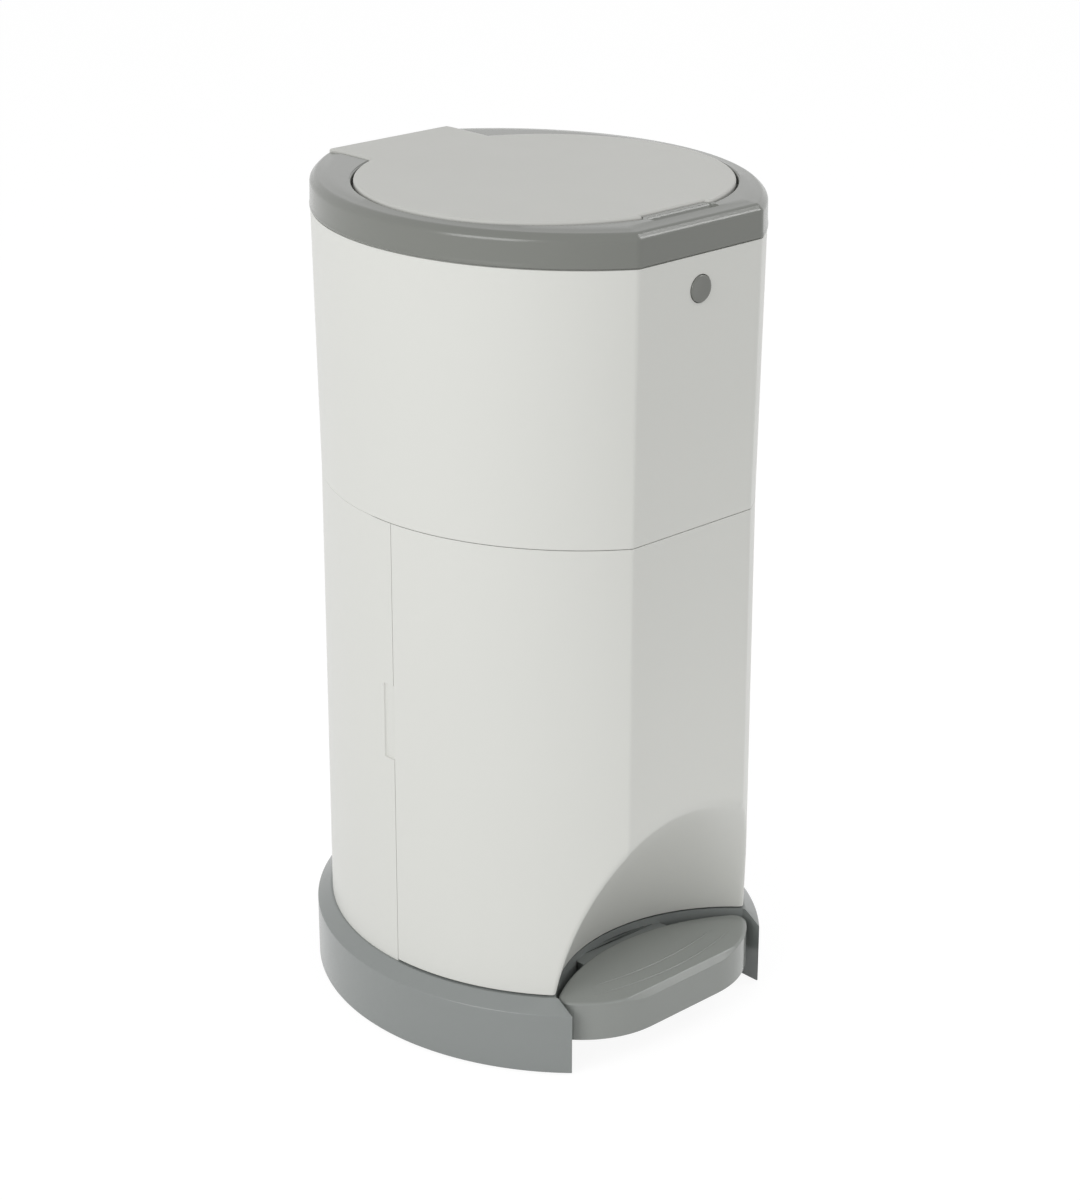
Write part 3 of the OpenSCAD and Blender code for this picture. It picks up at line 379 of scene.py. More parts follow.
def boolean(piece, tool, operation):
    """Applies one exact boolean with a tool, a bmesh in millimetres or an object, and removes the tool."""
    if isinstance(tool, bmesh.types.BMesh):
        tool = to_object("tool", tool)
    modifier = piece.modifiers.new("shape", "BOOLEAN")
    modifier.operation = operation
    modifier.solver = "EXACT"
    modifier.object = tool
    settle(piece)
    bpy.data.objects.remove(tool)
    return piece


def settle(piece):
    """Turns a piece's modifiers into its plain mesh."""
    bpy.context.view_layer.update()
    graph = bpy.context.evaluated_depsgraph_get()
    mesh = bpy.data.meshes.new_from_object(piece.evaluated_get(graph))
    old = piece.data
    piece.modifiers.clear()
    piece.data = mesh
    mesh.name = piece.name
    bpy.data.meshes.remove(old)
    return piece


def cut(piece, tool):
    return boolean(piece, tool, "DIFFERENCE")


def keep(piece, tool):
    return boolean(piece, tool, "INTERSECT")


def weld(piece, tool):
    return boolean(piece, tool, "UNION")


def pair(name, make):
    """One object from the bmeshes that make gives for the left and the right side."""
    return add_mesh(to_object(name, make(-1)), to_object(name, make(1)))


def frame_bmesh(node):
    """A frame node's mesh in metres, with its doubles merged."""
    bm = bmesh.new()
    bm.from_mesh(frame["nodes"][node].data)
    bmesh.ops.remove_doubles(bm, verts=bm.verts, dist=0.000002)
    return bm


def add_mesh(piece, other):
    """Adds another object's mesh to a piece and removes the other."""
    with editing(piece) as bm:
        bm.from_mesh(other.data)
    bpy.data.objects.remove(other)
    return piece


def clean(piece, distance=0.00002):
    with editing(piece) as bm:
        bmesh.ops.remove_doubles(bm, verts=bm.verts, dist=distance)
        bmesh.ops.dissolve_degenerate(bm, edges=bm.edges, dist=distance / 2)
    return piece


def deliver(piece, body, slot, *nodes):
    """Gives a finished piece its material in one slot and its body, and hides the frame nodes that it stands for."""
    shade(piece)
    modifier = piece.modifiers.new("weighted_normals", "WEIGHTED_NORMAL")
    modifier.keep_sharp = True
    modifier.weight = 80
    settle(piece)
    piece.data.materials.clear()
    piece.data.materials.append(MATERIALS[slot])
    for polygon in piece.data.polygons:
        polygon.material_index = 0
    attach(piece, body)
    if nodes:
        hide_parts(*nodes)
    return piece


NOTCH = {"low": 191.0, "high": 241.0, "deep": 1.5, "wide": 9.0}


# Shells
def quarter(steps=4):
    """Fractions (along, in) of a rounded edge, from the face to the side."""
    return [(sin(pi / 2 * i / steps), 1 - cos(pi / 2 * i / steps)) for i in range(steps + 1)]


def shell_profile(z0, z1, off, wall, edge, rows):
    """Closed (height, offset) loop of a moulded wall with rounded outer edges."""
    outer = [(z0 + edge * i, off(z0) - edge * (1 - a)) for a, i in quarter()]
    outer += [(z0 + edge + (z1 - z0 - 2 * edge) * k / rows, off(z0 + edge + (z1 - z0 - 2 * edge) * k / rows))
              for k in range(1, rows)]
    outer += [(z1 - edge * i, off(z1) - edge * (1 - a)) for a, i in reversed(quarter())]
    return outer + [(z1, off(z1) - wall), (z0, off(z0) - wall)]


def upper_off(z):
    return -shape().waist * (1 - (z - UPPER_LOW) / (UPPER_TOP + 0.35 - UPPER_LOW))


def lower_off(z):
    s = shape()
    return -s.foot + (s.foot - s.waist) * (z - LOWER_LOW) / (LOWER_TOP - LOWER_LOW)


def inner_parts(node, levels):
    """What a frame node carries inside its own wall."""
    name = node + "_inside"
    return keep(put(name, mesh_from(name, frame_bmesh(node))), loft(levels))


def upper_housing():
    s = shape()
    piece = to_object("upper_housing_finished",
                      loft(shell_profile(UPPER_LOW, UPPER_TOP, upper_off, s.wall, s.edge, 12), closed_loop=True))
    inside = 0.5 - s.wall
    inner = inner_parts("upper_housing", [(UPPER_LOW - 20, inside - s.waist), (UPPER_LOW, inside - s.waist),
                                          (UPPER_TOP, inside), (LID_TOP, inside)])
    weld(piece, inner)
    button = middle("front_button")
    hole = high("front_button").x - 1.2
    cut(piece, bar(hole, (0, BODY_FRONT - 5, button.z), (0, BODY_FRONT + 5, button.z), 1, 96))
    return deliver(clean(piece), "housing", "body_white", "upper_housing")


def lower_housing():
    s = shape()
    piece = to_object("lower_housing_finished",
                      loft(shell_profile(LOWER_LOW, LOWER_TOP, lower_off, s.wall, s.edge, 20), closed_loop=True))
    cut(piece, rounded_box((-HALF_WIDTH - 20, BODY_FRONT - 20, LOWER_LOW - 20),
                           (HALF_WIDTH + 20, s.door_seam / 2, LOWER_TOP + 20)))
    inside = 0.5 - s.wall
    inner = inner_parts("lower_housing", [(LOWER_LOW - 1, inside - s.foot), (LOWER_TOP + 1, inside - s.waist)])
    weld(piece, inner)
    cut(piece, notch_wedge())

    def parting(x, y, z):
        return y < s.door_seam / 2 + 0.01 and outside(x, y, z)
    bevel_where(clean(piece), s.edge, 2, parting, 40)
    close_seam(piece)
    return deliver(piece, "housing", "body_white", "lower_housing")


def outside(x, y, z, depth=0.4):
    """Whether a place lies in the skin of the lower body."""
    s = shape()
    return hypot(abs(x) + s.side_radius - HALF_WIDTH, y - MIDDLE_Y) > s.side_radius + lower_off(z) - depth


def notch_wedge():
    """Finger notch: a shallow rectangle behind the door's edge."""
    n = NOTCH
    skin = -HALF_WIDTH - lower_off((n["low"] + n["high"]) / 2)
    outline = [(skin - 5, -3), (skin + n["deep"], -3), (skin + n["deep"], n["wide"] - 0.9), (skin + 0.2, n["wide"]),
               (skin - 5, n["wide"])]
    bm = bmesh.new()
    add_rings(bm, [[(x, y, z) for x, y in outline] for z in (n["low"], n["high"])])
    for z in (n["low"], n["high"]):
        bm.faces.new([v for v in bm.verts if abs(v.co.z - z) < 0.01])
    bmesh.ops.recalc_face_normals(bm, faces=bm.faces)
    bmesh.ops.bevel(bm, geom=[e for e in bm.edges if e.verts[0].co.x > skin and e.verts[1].co.x > skin],
                    offset=0.8, segments=3, profile=0.5, affect="EDGES")
    return bm


def close_seam(piece):
    """Raises the rear of the lower housing's rim until its seam is all but shut."""
    s = shape()
    for v in piece.data.vertices:
        if v.co.z / MM > LOWER_TOP - 1:
            share = min(max((v.co.y / MM - LID_MIDDLE_Y - 12) / 12, 0), 1)
            v.co.z += (s.seam - 0.06) * share * share * (3 - 2 * share) * MM


class NAPPYBIN_OT_housing(bpy.types.Operator):
    """Build the upper and lower housing"""

    bl_idname = "nappybin.housing"
    bl_label = "Housing"

    def execute(self, context):
        upper_housing()
        lower_housing()
        return {"FINISHED"}


# Door
SCOOP = {"radius": 117.0, "axis_y": -182.0, "from_z": 50.0, "lean": 0.277, "bow": 0.00289}


def scoop_y(x, z, grow=0.0):
    """Depth of the toe scoop's surface, an arc that comes forward ever faster with height."""
    rise = z - SCOOP["from_z"]
    axis = SCOOP["axis_y"] - SCOOP["lean"] * rise - SCOOP["bow"] * rise ** 2
    return axis + sqrt(max((SCOOP["radius"] + grow) ** 2 - x ** 2, 0))


def smooth_max(a, b, blend):
    """The larger of two values, rounded where they meet."""
    near = max(blend - abs(a - b), 0) / blend
    return max(a, b) + near * near * blend / 4


def edge_rounding(distance, radius):
    """How far a face draws back at a distance from its rounded edge."""
    if distance >= radius:
        return 0.0
    return radius - sqrt(max(radius ** 2 - (radius - distance) ** 2, 0))


EDGE_AT = (0.0, 0.1, 0.3, 0.6)


def spread(start, end, step):
    count = max(1, round(abs(end - start) / step))
    return [start + (end - start) * i / count for i in range(count)]


def half_plan(offset, side_at):
    """Front half of the outline from the right seam to the left one, as (place, normal) pairs."""
    s = shape()
    shift = s.side_radius - HALF_WIDTH
    r = s.side_radius + offset
    c = max(s.corner_radius + offset, 1)
    fy = (BODY_REAR - BODY_FRONT) / 2 + offset - c
    fx = sqrt((r - c) ** 2 - fy ** 2) - shift
    a = atan2(fy, fx + shift)
    seam = asin((MIDDLE_Y + s.door_seam / 2) / r)

    def on(centre, radius, angle):
        normal = Vector((cos(angle), sin(angle)))
        return Vector(centre) + normal * radius, normal
    right = [on((-shift, MIDDLE_Y), r, -seam - (a - seam) * f) for f in side_at]
    corner = [on((fx, MIDDLE_Y - fy), c, -a - (pi / 2 - a) * k / s.corner_steps)
              for k in range(1, s.corner_steps + 1)]
    front = [(Vector((x, MIDDLE_Y - fy - c)), Vector((0, -1))) for x in spread(fx, 0, 1.5)[1:]]
    half = right + corner + front
    mirrored = [(Vector((-p.x, p.y)), Vector((-n.x, n.y))) for p, n in reversed(half)]
    return half + [(Vector((0, MIDDLE_Y - fy - c)), Vector((0, -1)))] + mirrored


def side_places(edge, length, fine_from):
    """Fractions along a bowed side, close at the seam's rounded edge and where the scoop cuts."""
    places = [edge * f for f in EDGE_AT] + spread(edge, fine_from, 6) + spread(fine_from, length, 1.5) + [length]
    return [p / length for p in places]


def door_panel():
    s = shape()
    k = s.scoop_blend * 2.8
    side_length = 150.0
    side_at = side_places(s.edge, side_length, 96.0)
    rows = ([DOOR_LOW + s.edge * f for f in EDGE_AT] + spread(DOOR_LOW + s.edge, 168, 1.5)
            + spread(168, LOWER_TOP - s.edge, 12) + [LOWER_TOP - s.edge * f for f in reversed(EDGE_AT + (1.0,))])
    along = [f * side_length for f in side_at]
    bm = bmesh.new()
    outer, inner = [], []
    for z in rows:
        o = lower_off(z)
        edge_z = min(z - DOOR_LOW, LOWER_TOP - z)
        out_row, in_row = [], []
        face = half_plan(o, side_at)
        for i, (p, n) in enumerate(face):
            run = min(i, len(face) - 1 - i, len(along) - 1)
            draw = edge_rounding(min(edge_z, along[run]), s.edge)
            q = p - n * draw
            out_row.append(bm.verts.new((q.x, smooth_max(q.y, scoop_y(q.x, z) + draw, k), z)))
        for p, n in half_plan(o - s.wall, side_at):
            in_row.append(bm.verts.new((p.x, smooth_max(p.y, scoop_y(p.x, z, s.wall * 1.3), k), z)))
        outer.append(out_row)
        inner.append(in_row)
    last = len(outer[0]) - 1
    for row in range(len(rows) - 1):
        for i in range(last):
            bm.faces.new((outer[row][i], outer[row][i + 1], outer[row + 1][i + 1], outer[row + 1][i]))
            bm.faces.new((inner[row][i], inner[row + 1][i], inner[row + 1][i + 1], inner[row][i + 1]))
        for i in (0, last):
            bm.faces.new((outer[row][i], outer[row + 1][i], inner[row + 1][i], inner[row][i]))
    for row in (0, len(rows) - 1):
        for i in range(last):
            bm.faces.new((outer[row][i], outer[row][i + 1], inner[row][i + 1], inner[row][i]))
    piece = to_object("door_panel_finished", bm)
    jambs = pair("jambs", lambda side: rounded_box((side * HALF_WIDTH, -3.5, DOOR_LOW),
                                                   (side * (HALF_WIDTH - 7.5), -s.door_seam / 2, LOWER_TOP)))
    keep(jambs, loft([(DOOR_LOW, -1 - s.foot), (LOWER_TOP, -1 - s.waist)]))
    weld(piece, jambs)
    weld(piece, knuckles(4.3, [(-13.5, 13.5)], 0.4))
    cut(piece, knuckles(4.9, [(-30.5, -13.5), (13.5, 30.5)], 0.0))
    cut(piece, knuckles(1.56, [(-31.0, 31.0)], 0.0))
    return deliver(clean(piece), "door", "body_white", "door_panel")


def knuckles(radius, spans, edge):
    """Round barrels of the door's two hinges, as one object."""
    x = middle("door_hinge_pins").x
    y = middle("door_hinge_pins").y - LID_MIDDLE_Y
    half = 30.0
    group = None
    for z in (low("door_hinge_pins").z + half, high("door_hinge_pins").z - half):
        for start, end in spans:
            barrel = to_object("barrel", bar(radius, (x, y, z + start), (x, y, z + end), 2, 48, edge))
            group = add_mesh(group, barrel) if group else barrel
    return group


class NAPPYBIN_OT_door(bpy.types.Operator):
    """Build the front door with its toe scoop"""

    bl_idname = "nappybin.door"
    bl_label = "Door"

    def execute(self, context):
        door_panel()
        return {"FINISHED"}


# Base
RECESS = {"radius": 117.0, "axis_y": -182.0, "half_width": 85.0, "wall": 3.0}
BASE_OUT = 9.3
SKIRT_WALL = 3.0


def recess(grow, z0, z1):
    """The pedal's recess: a disc cut to the opening's width."""
    r = RECESS["radius"] + grow
    disc = to_object("recess", bar(r, (0, RECESS["axis_y"], z0), (0, RECESS["axis_y"], z1), 2, 240))
    wide = RECESS["half_width"] + grow
    return keep(disc, rounded_box((-wide, RECESS["axis_y"] - 2 * r, z0 - 1), (wide, 0, z1 + 1)))


def bevel_where(piece, radius, steps, chosen, least):
    """Rounds the sharp edges whose both ends satisfy a test in millimetres."""
    def picked(e):
        ends = [(v.co.x / MM, v.co.y / MM - LID_MIDDLE_Y, v.co.z / MM) for v in e.verts]
        return len(e.link_faces) == 2 and e.calc_face_angle() > radians(least) and all(chosen(*p) for p in ends)
    with editing(piece) as bm:
        bmesh.ops.bevel(bm, geom=[e for e in bm.edges if picked(e)], offset=radius * MM, segments=steps, profile=0.5,
                        affect="EDGES", clamp_overlap=True)


def base_skirt():
    z0 = low("base_skirt").z
    z1 = high("base_skirt").z
    side_top, blend = z1 - 6.0, 2.2
    slope = atan2(z1 - side_top, BASE_OUT - 0.3)
    outer = [(z0 + 0.8 * i, BASE_OUT - 0.8 * (1 - a)) for a, i in quarter()]
    outer += [(z0 + (side_top - blend - z0) * k / 4, BASE_OUT) for k in range(1, 4)]
    turn = pi / 2 - slope
    radius = blend / tan((pi - turn) / 2)
    centre = (side_top - blend, BASE_OUT - radius)
    outer += [(centre[0] + radius * sin(turn * i / 8), centre[1] + radius * cos(turn * i / 8))
              for i in range(9)]
    outer += [(z1 - 0.5, 0.3 + 0.5 / tan(slope)), (z1 - 0.1, 0.5), (z1, 0.1)]
    inner = [(z1, 0.3 - SKIRT_WALL), (z1 - 2, 0.3 - SKIRT_WALL), (side_top - 2, BASE_OUT - SKIRT_WALL),
             (z0, BASE_OUT - SKIRT_WALL)]
    piece = to_object("base_skirt_finished", loft(outer + inner, closed_loop=True))
    wall = recess(RECESS["wall"], z0, z1 - 0.05)
    keep(wall, loft([(z0 - 1, BASE_OUT - 1), (side_top - 1, BASE_OUT - 1), (z1, -0.5)]))
    weld(piece, wall)
    cut(piece, recess(0, z0 - 5, z1 + 5))
    low_in, high_in = BASE_OUT - SKIRT_WALL + 0.4, 0.3 - SKIRT_WALL + 0.4
    inside = inner_parts("base_skirt", [(z0 - 1, low_in), (side_top - 2, low_in), (z1 - 2, high_in), (z1 + 1, high_in)])
    weld(piece, inside)
    cut(piece, rounded_box((-38, -80, 8), (38, -40, z1 - 5), 0.6))
    clean(piece)
    reach = RECESS["radius"]

    def rim_of_recess(x, y, z):
        on_arc = abs(hypot(x, y - RECESS["axis_y"]) - reach) < 0.08
        on_side = abs(abs(x) - RECESS["half_width"]) < 0.03
        return (on_arc or on_side) and z > z0 - 1 and y < -60
    bevel_where(piece, 0.5, 2, rim_of_recess, 35)
    return deliver(piece, "housing", "base_grey", "base_skirt")


class NAPPYBIN_OT_base(bpy.types.Operator):
    """Build the base ring with its recess for the pedal"""

    bl_idname = "nappybin.base"
    bl_label = "Base"

    def execute(self, context):
        base_skirt()
        return {"FINISHED"}


# Pedal. Each rib: how far it lies behind the tread's front edge, its radius and half its width
RIBS = ((23.5, 237.0, 53.0), (12.0, 203.0, 62.0))
TREAD = {"front_y": -132.7, "flat": 30.0, "corner_r": 65.3, "end_r": 9.0, "rear_r": 140.0, "rear_y": -213.5}
FACET = 3.2


def lens():
    """Outline of the tread as (place, outward normal, share), share 1 where the front edge is chamfered."""
    t = TREAD
    side = Vector((t["flat"], t["front_y"] + t["corner_r"]))
    rear = Vector((0, t["rear_y"]))
    near = t["rear_r"] - t["end_r"]
    far = t["corner_r"] - t["end_r"]
    apart = (rear - side).length
    along = (apart ** 2 + far ** 2 - near ** 2) / (2 * apart)
    ray = (rear - side).normalized()
    end = side + ray * along + Vector((-ray.y, ray.x)) * sqrt(far ** 2 - along ** 2)

    def heading(a, b):
        return atan2(b.y - a.y, b.x - a.x)
    arcs = [(side, t["corner_r"], -pi / 2, heading(side, end), 36),
            (end, t["end_r"], heading(side, end), heading(rear, end), 16),
            (rear, t["rear_r"], heading(rear, end), pi / 2, 40)]
    half = [(Vector((side.x * i / 10, t["front_y"])), Vector((0, -1))) for i in range(10)]
    for centre, radius, start, stop, steps in arcs:
        for i in range(steps):
            angle = start + (stop - start) * i / steps
            n = Vector((cos(angle), sin(angle)))
            half.append((centre + n * radius, n))
    half.append((rear + Vector((0, t["rear_r"])), Vector((0, 1))))
    outline = [(p, n, min(max(1 - (p.y - t["front_y"]) / FACET, 0), 1)) for p, n in half]
    return outline + [(Vector((-p.x, p.y)), Vector((-n.x, n.y)), share) for p, n, share in outline[-2:0:-1]]


def pedal_tread():
    z0 = low("pedal_tread").z
    z1 = high("pedal_tread").z - 0.7
    outline = lens()
    bm = bmesh.new()
    rings = []

    def ring(inset_of, z_of):
        rings.append([(*(p - n * inset_of(share)), z_of(share)) for p, n, share in outline])
    ring(lambda s: 3.0, lambda s: z1 - 3.2)
    ring(lambda s: 3.0, lambda s: z0)
    for a, i in quarter(3):
        ring(lambda s: 0.6 * (1 - a), lambda s: z0 + 0.6 * i)
    small, tilt = 0.5, radians(45)
    run = cos(tilt)
    ring(lambda s: 0.0, lambda s: z1 - 12)

    def large(s):
        return 2.4 - 1.6 * s

    def drop(s):
        return small * run + FACET * s + 0.12 + large(s) * (1 - run)

    def slant(share):
        """Places within the chamfer, so that its shading stays flat up to both edges."""
        ring(lambda s: small * (1 - run) + (FACET * s + 0.12) * share,
             lambda s: z1 - drop(s) + small * run + (FACET * s + 0.12) * share)
    for k in range(5):
        a = tilt * k / 4
        ring(lambda s: small * (1 - cos(a)), lambda s: z1 - drop(s) + small * sin(a))
    slant(0.04)
    slant(0.96)
    for k in range(7):
        a = tilt + (pi / 2 - tilt) * k / 6
        ring(lambda s: small * (1 - run) + FACET * s + 0.12 + large(s) * (run - cos(a)),
             lambda s: z1 - large(s) + large(s) * sin(a))
    stack = add_rings(bm, rings)
    bm.faces.new(list(reversed(stack[0])))
    bm.faces.new(stack[-1])
    divide_top(bm, z1)
    piece = to_object("pedal_tread_finished", bm)
    arm_x, arm_half = 32.0, 5
    cut(piece, pair("arm_ways", lambda side: rounded_box((side * arm_x - arm_half, -100, z0 - 2),
                                                         (side * arm_x + arm_half, 0, z1 - 8))))
    clean(piece)
    tree = rib_tree()
    front = low("pedal_tread").y - LID_MIDDLE_Y
    for back, radius, reach in RIBS:
        place = Vector((0, front + back + radius + LID_MIDDLE_Y, z1)) * MM
        rib = grown("rib", tree, [place], Radius=radius * MM, Reach=reach * MM, Width=1.5 * MM, Height=0.62 * MM,
                    Material=MATERIALS["pedal_grey"])
        add_mesh(piece, rib)
    return deliver(piece, "pedal", "pedal_grey", "pedal_tread")


def divide_top(bm, z1):
    """Divides the tread's flat top, so that its shading has small faces to follow."""
    for axis, start, stop, step in ((0, -84, 84, 6), (1, -132, -68, 4)):
        for k in range(start, stop + 1, step):
            faces = [f for f in bm.faces if f.normal.z > 0.99 and f.calc_center_median().z > z1 - 0.5]
            geom = set(faces) | {e for f in faces for e in f.edges} | {v for f in faces for v in f.verts}
            normal = (1 - axis, axis, 0)
            bmesh.ops.bisect_plane(bm, geom=list(geom), plane_co=Vector(normal) * (k + 0.01), plane_no=normal)
            bm.normal_update()


class NAPPYBIN_OT_pedal(bpy.types.Operator):
    """Build the pedal's tread"""

    bl_idname = "nappybin.pedal"
    bl_label = "Pedal"

    def execute(self, context):
        pedal_tread()
        return {"FINISHED"}


# Hood
SEAT_R = 116.4
MOUTH_R = 80.5
TAIL_HALF = 48.5
TAIL_FRONT = 103.9
CHEEK_X = 49.7
FINGER_Y = 107.6
LID_R = 115.0
LID_CORNER_R = 2.0
FINGER_GAP = 0.8
DIP_Y = -116.2


def bore_for_pin(piece, reach):
    """Bores the way of the hinge pin, to reach on both sides."""
    y = HINGE.y - LID_MIDDLE_Y
    cut(piece, bar(2.56, (-reach, y, HINGE.z), (reach, y, HINGE.z), 0))


def hood_profile(z0, z1):
    """(height, offset) from the skirt over the upper edge's flat chamfer to the edge of the top."""
    top = z1 - 0.3
    outer = [(z0 + 0.5 * i, 0.5 - 0.5 * (1 - a)) for a, i in quarter()]
    outer += [(z0 + 1.4, 0.5), (z0 + 2.2, 0.32), (z0 + 3.2, 0.22), (z0 + 8, 0.1), (top - 6.2, 0.0)]
    step, tilt = 1.6, pi / 4
    for k in range(1, 7):
        a = tilt * k / 6
        outer.append((top - 6.2 + 3.9 * sin(a), -3.9 * (1 - cos(a))))
    up, back = outer[-1]
    outer += [(up + step * f, back - step * f) for f in (0.05, 0.95)]
    for k in range(7):
        a = tilt + tilt * k / 6
        outer.append((up + step + 3.5 * (sin(a) - sin(tilt)), back - step - 3.5 * (cos(tilt) - cos(a))))
    outer += [(top - 0.45, -9.0), (z1, -13.3)]
    return outer


def lid_seat(z1):
    """The hollow that the lid lies in: a disc with the lid's straight finger edge and rounded corners beside it."""
    seat_z = LID_TOP - 10
    lip = [(0, seat_z), (SEAT_R, seat_z), (SEAT_R, z1 - 1.5)]
    lip += [(SEAT_R + 1.0 * (1 - cos(a)), z1 - 1.5 + 1.2 * sin(a)) for a in [pi / 2 * k / 6 for k in range(1, 7)]]
    lip += [(SEAT_R + 1.6, z1 + 3), (0, z1 + 3)]
    seat = to_object("seat", lathe(lip, 360, closed_loop=False))
    half = shape().finger_width / 2
    edge_y = -FINGER_Y - FINGER_GAP
    cut(seat, rounded_box((FINGER_GAP - half, -SEAT_R - 9, seat_z - 4), (half - FINGER_GAP, edge_y, z1 + 2), 1.2, 3))
    turn = LID_CORNER_R + FINGER_GAP
    at = (half + LID_CORNER_R, -sqrt((LID_R - LID_CORNER_R) ** 2 - (half + LID_CORNER_R) ** 2))
    for side in (-1, 1):
        filler = to_object("filler", rounded_box((side * (half - FINGER_GAP - 0.1), -SEAT_R - 9, seat_z - 4),
                                                 (side * at[0], at[1], z1 + 2)))
        cut(filler, bar(turn, (side * at[0], at[1], seat_z - 5), (side * at[0], at[1], z1 + 4), 2, 96))
        cut(seat, filler)
    return seat


def hood_rim():
    s = shape()
    z0 = HOOD_LOW
    z1 = high("hood_rim").z
    top = z1 - 0.3
    piece = to_object("hood_rim_finished", loft(hood_profile(z0, z1)))
    # A thin grey lip of the hood sits in the seam gap above the upper housing's wall. It closes the gap from behind so
    # that the seam reads as a dark line: partly a real shadow-gap lip, partly painted shade, its grey standing in for
    # the shade deep in the gap.
    lip, lip_back, lip_low, lip_top = 0.6 - s.wall, -s.wall - 0.1, UPPER_TOP + 0.1, z0 + 0.4
    weld(piece, loft([(lip_low, lip), (lip_top, lip), (lip_top, lip_back), (lip_low, lip_back)], closed_loop=True))
    hollow = to_object("hollow", loft([(UPPER_TOP - 1, -s.wall), (z1 - 6.3, -s.wall), (z1 - 2.8, -s.wall - 3)]))
    seat_low = LID_TOP - 13.0
    cut(hollow, bar(SEAT_R + s.wall, (0, 0, seat_low), (0, 0, LID_TOP), 2, 240))
    cut(piece, hollow)
    chute_top = high("chute").z
    weld(piece, lathe([(MOUTH_R, chute_top + 1.5), (MOUTH_R + 2.5, chute_top + 1.5), (MOUTH_R + 2.5, seat_low + 0.1),
                       (MOUTH_R, seat_low + 0.1)], 192))
    cheeks = pair("cheeks", lambda side: rounded_box((side * CHEEK_X, TAIL_FRONT, z0),
                                                     (side * (CHEEK_X + 6.4), BODY_REAR, z1)))
    keep(cheeks, loft([(z0, -0.5), (top - 6, -0.5), (top - 1, -5)]))
    weld(piece, cheeks)
    cut(piece, lid_seat(z1))
    cut(piece, bar(MOUTH_R, (0, 0, z0 - 20), (0, 0, LID_TOP), 2, 192))
    cut(piece, rounded_box((-CHEEK_X, TAIL_FRONT, z0 - 1), (CHEEK_X, BODY_REAR + 6, LID_TOP + 5)))
    cut(piece, rounded_box((-64, BODY_REAR - 20, z0 - 1), (64, BODY_REAR + 6, HINGE.z - 9)))
    bore_for_pin(piece, high("hinge_pin").x + 0.4)
    dip, half = 4.5, s.finger_width / 2
    cut(piece, bar(dip, (-half, DIP_Y, z1 - 2.4 + dip), (half, DIP_Y, z1 - 2.4 + dip), 0, 144, 2.0))
    return deliver(clean(piece), "hood", "hood_grey", "hood_rim")


class NAPPYBIN_OT_hood(bpy.types.Operator):
    """Build the hood that frames the lid"""

    bl_idname = "nappybin.hood"
    bl_label = "Hood"

    def execute(self, context):
        hood_rim()
        return {"FINISHED"}


# Lid
def lid_outline(inset, steps=120, corner=3.0):
    """The lid's disc with its tail and straight finger edge, drawn in by inset, clockwise from the tail's root."""
    r = LID_R - inset
    half = TAIL_HALF - inset
    back = BODY_REAR - 0.5 - inset
    start = degrees(acos(half / r))
    w = shape().finger_width / 2 + inset
    d = FINGER_Y - inset
    out_r = max(LID_CORNER_R - inset, 0.08)
    in_r = min(0.7 + inset, sqrt(r * r - (w + out_r) ** 2) - d - out_r - 0.3)
    out_at = (w + out_r, -sqrt((r - out_r) ** 2 - (w + out_r) ** 2))
    meet = degrees(atan2(out_at[1], out_at[0]))
    right = arc_points((0, 0), r, start, meet, steps)
    right += arc_points(out_at, out_r, meet, -180, 8)[1:]
    right += arc_points((w - in_r, -d - in_r), in_r, 0, 90, 8)
    run = 8
    right += [((w - in_r) * (1 - i / run), -d) for i in range(1, run)]
    disc = right + [(0, -d)] + [(-x, y) for x, y in reversed(right)]
    c = max(corner - inset, 0.3)
    root = r * sin(radians(start))
    left = [(-half, root + (back - c - root) * i / run) for i in range(1, run)]
    left += arc_points((-half + c, back - c), c, 180, 90, 6)
    tail = left + [(-x, y) for x, y in reversed(left)]
    return [(x, y, True) for x, y in disc] + [(x, y, False) for x, y in tail]


def lid_cover():
    top = LID_TOP - 1.0
    low_z = LID_TOP - 9.0
    plate = LID_TOP - 3.8
    tail_low = plate - 3.2
    back = BODY_REAR - 0.5
    bm = bmesh.new()
    rings = []

    def ring(inset, z, tail_z=None):
        points = lid_outline(inset)
        level = [z if disc or tail_z is None else tail_z for x, y, disc in points]
        if z > top - 3:
            level = [min(h, top - edge_rounding(max(back - y, 0), 5.0)) for h, (x, y, disc) in zip(level, points)]
        rings.append([(x, y, h) for h, (x, y, disc) in zip(level, points)])
    ring(2.6, plate)
    ring(2.6, low_z, tail_low)
    for a, i in quarter(3):
        ring(0.5 * (1 - a), low_z + 0.5 * i, tail_low + 0.5 * i)
    edge = 1.7
    ring(0.0, top - edge - 0.6, tail_low + 0.8)
    for k in range(0, 9):
        a = pi / 2 * k / 8
        ring(edge * (1 - cos(a)), top - edge + edge * sin(a))
    for inset in (0.8, 1.6, 2.4, 3.4, 4.4):
        ring(edge + inset, top)
    stack = add_rings(bm, rings)
    bm.faces.new(stack[0])
    bm.faces.new(stack[-1])
    piece = to_object("lid_cover_finished", bm)
    apron, ear_in, ear_out = 40.6, 41.0, 45.9
    for side in (-1, 1):
        cut(piece, rounded_box((side * ear_in, back - 2.9, tail_low - 2), (side * ear_out, back + 2, plate + 0.2)))
    weld(piece, rounded_box((-apron, back - 2.5, HINGE.z - 7), (apron, back - 0.6, tail_low + 0.6)))
    bore_for_pin(piece, 60)
    return deliver(clean(piece), "lid", "lid_white", "lid_cover")


class NAPPYBIN_OT_lid(bpy.types.Operator):
    """Build the lid with its tail"""

    bl_idname = "nappybin.lid"
    bl_label = "Lid"

    def execute(self, context):
        lid_cover()
        return {"FINISHED"}


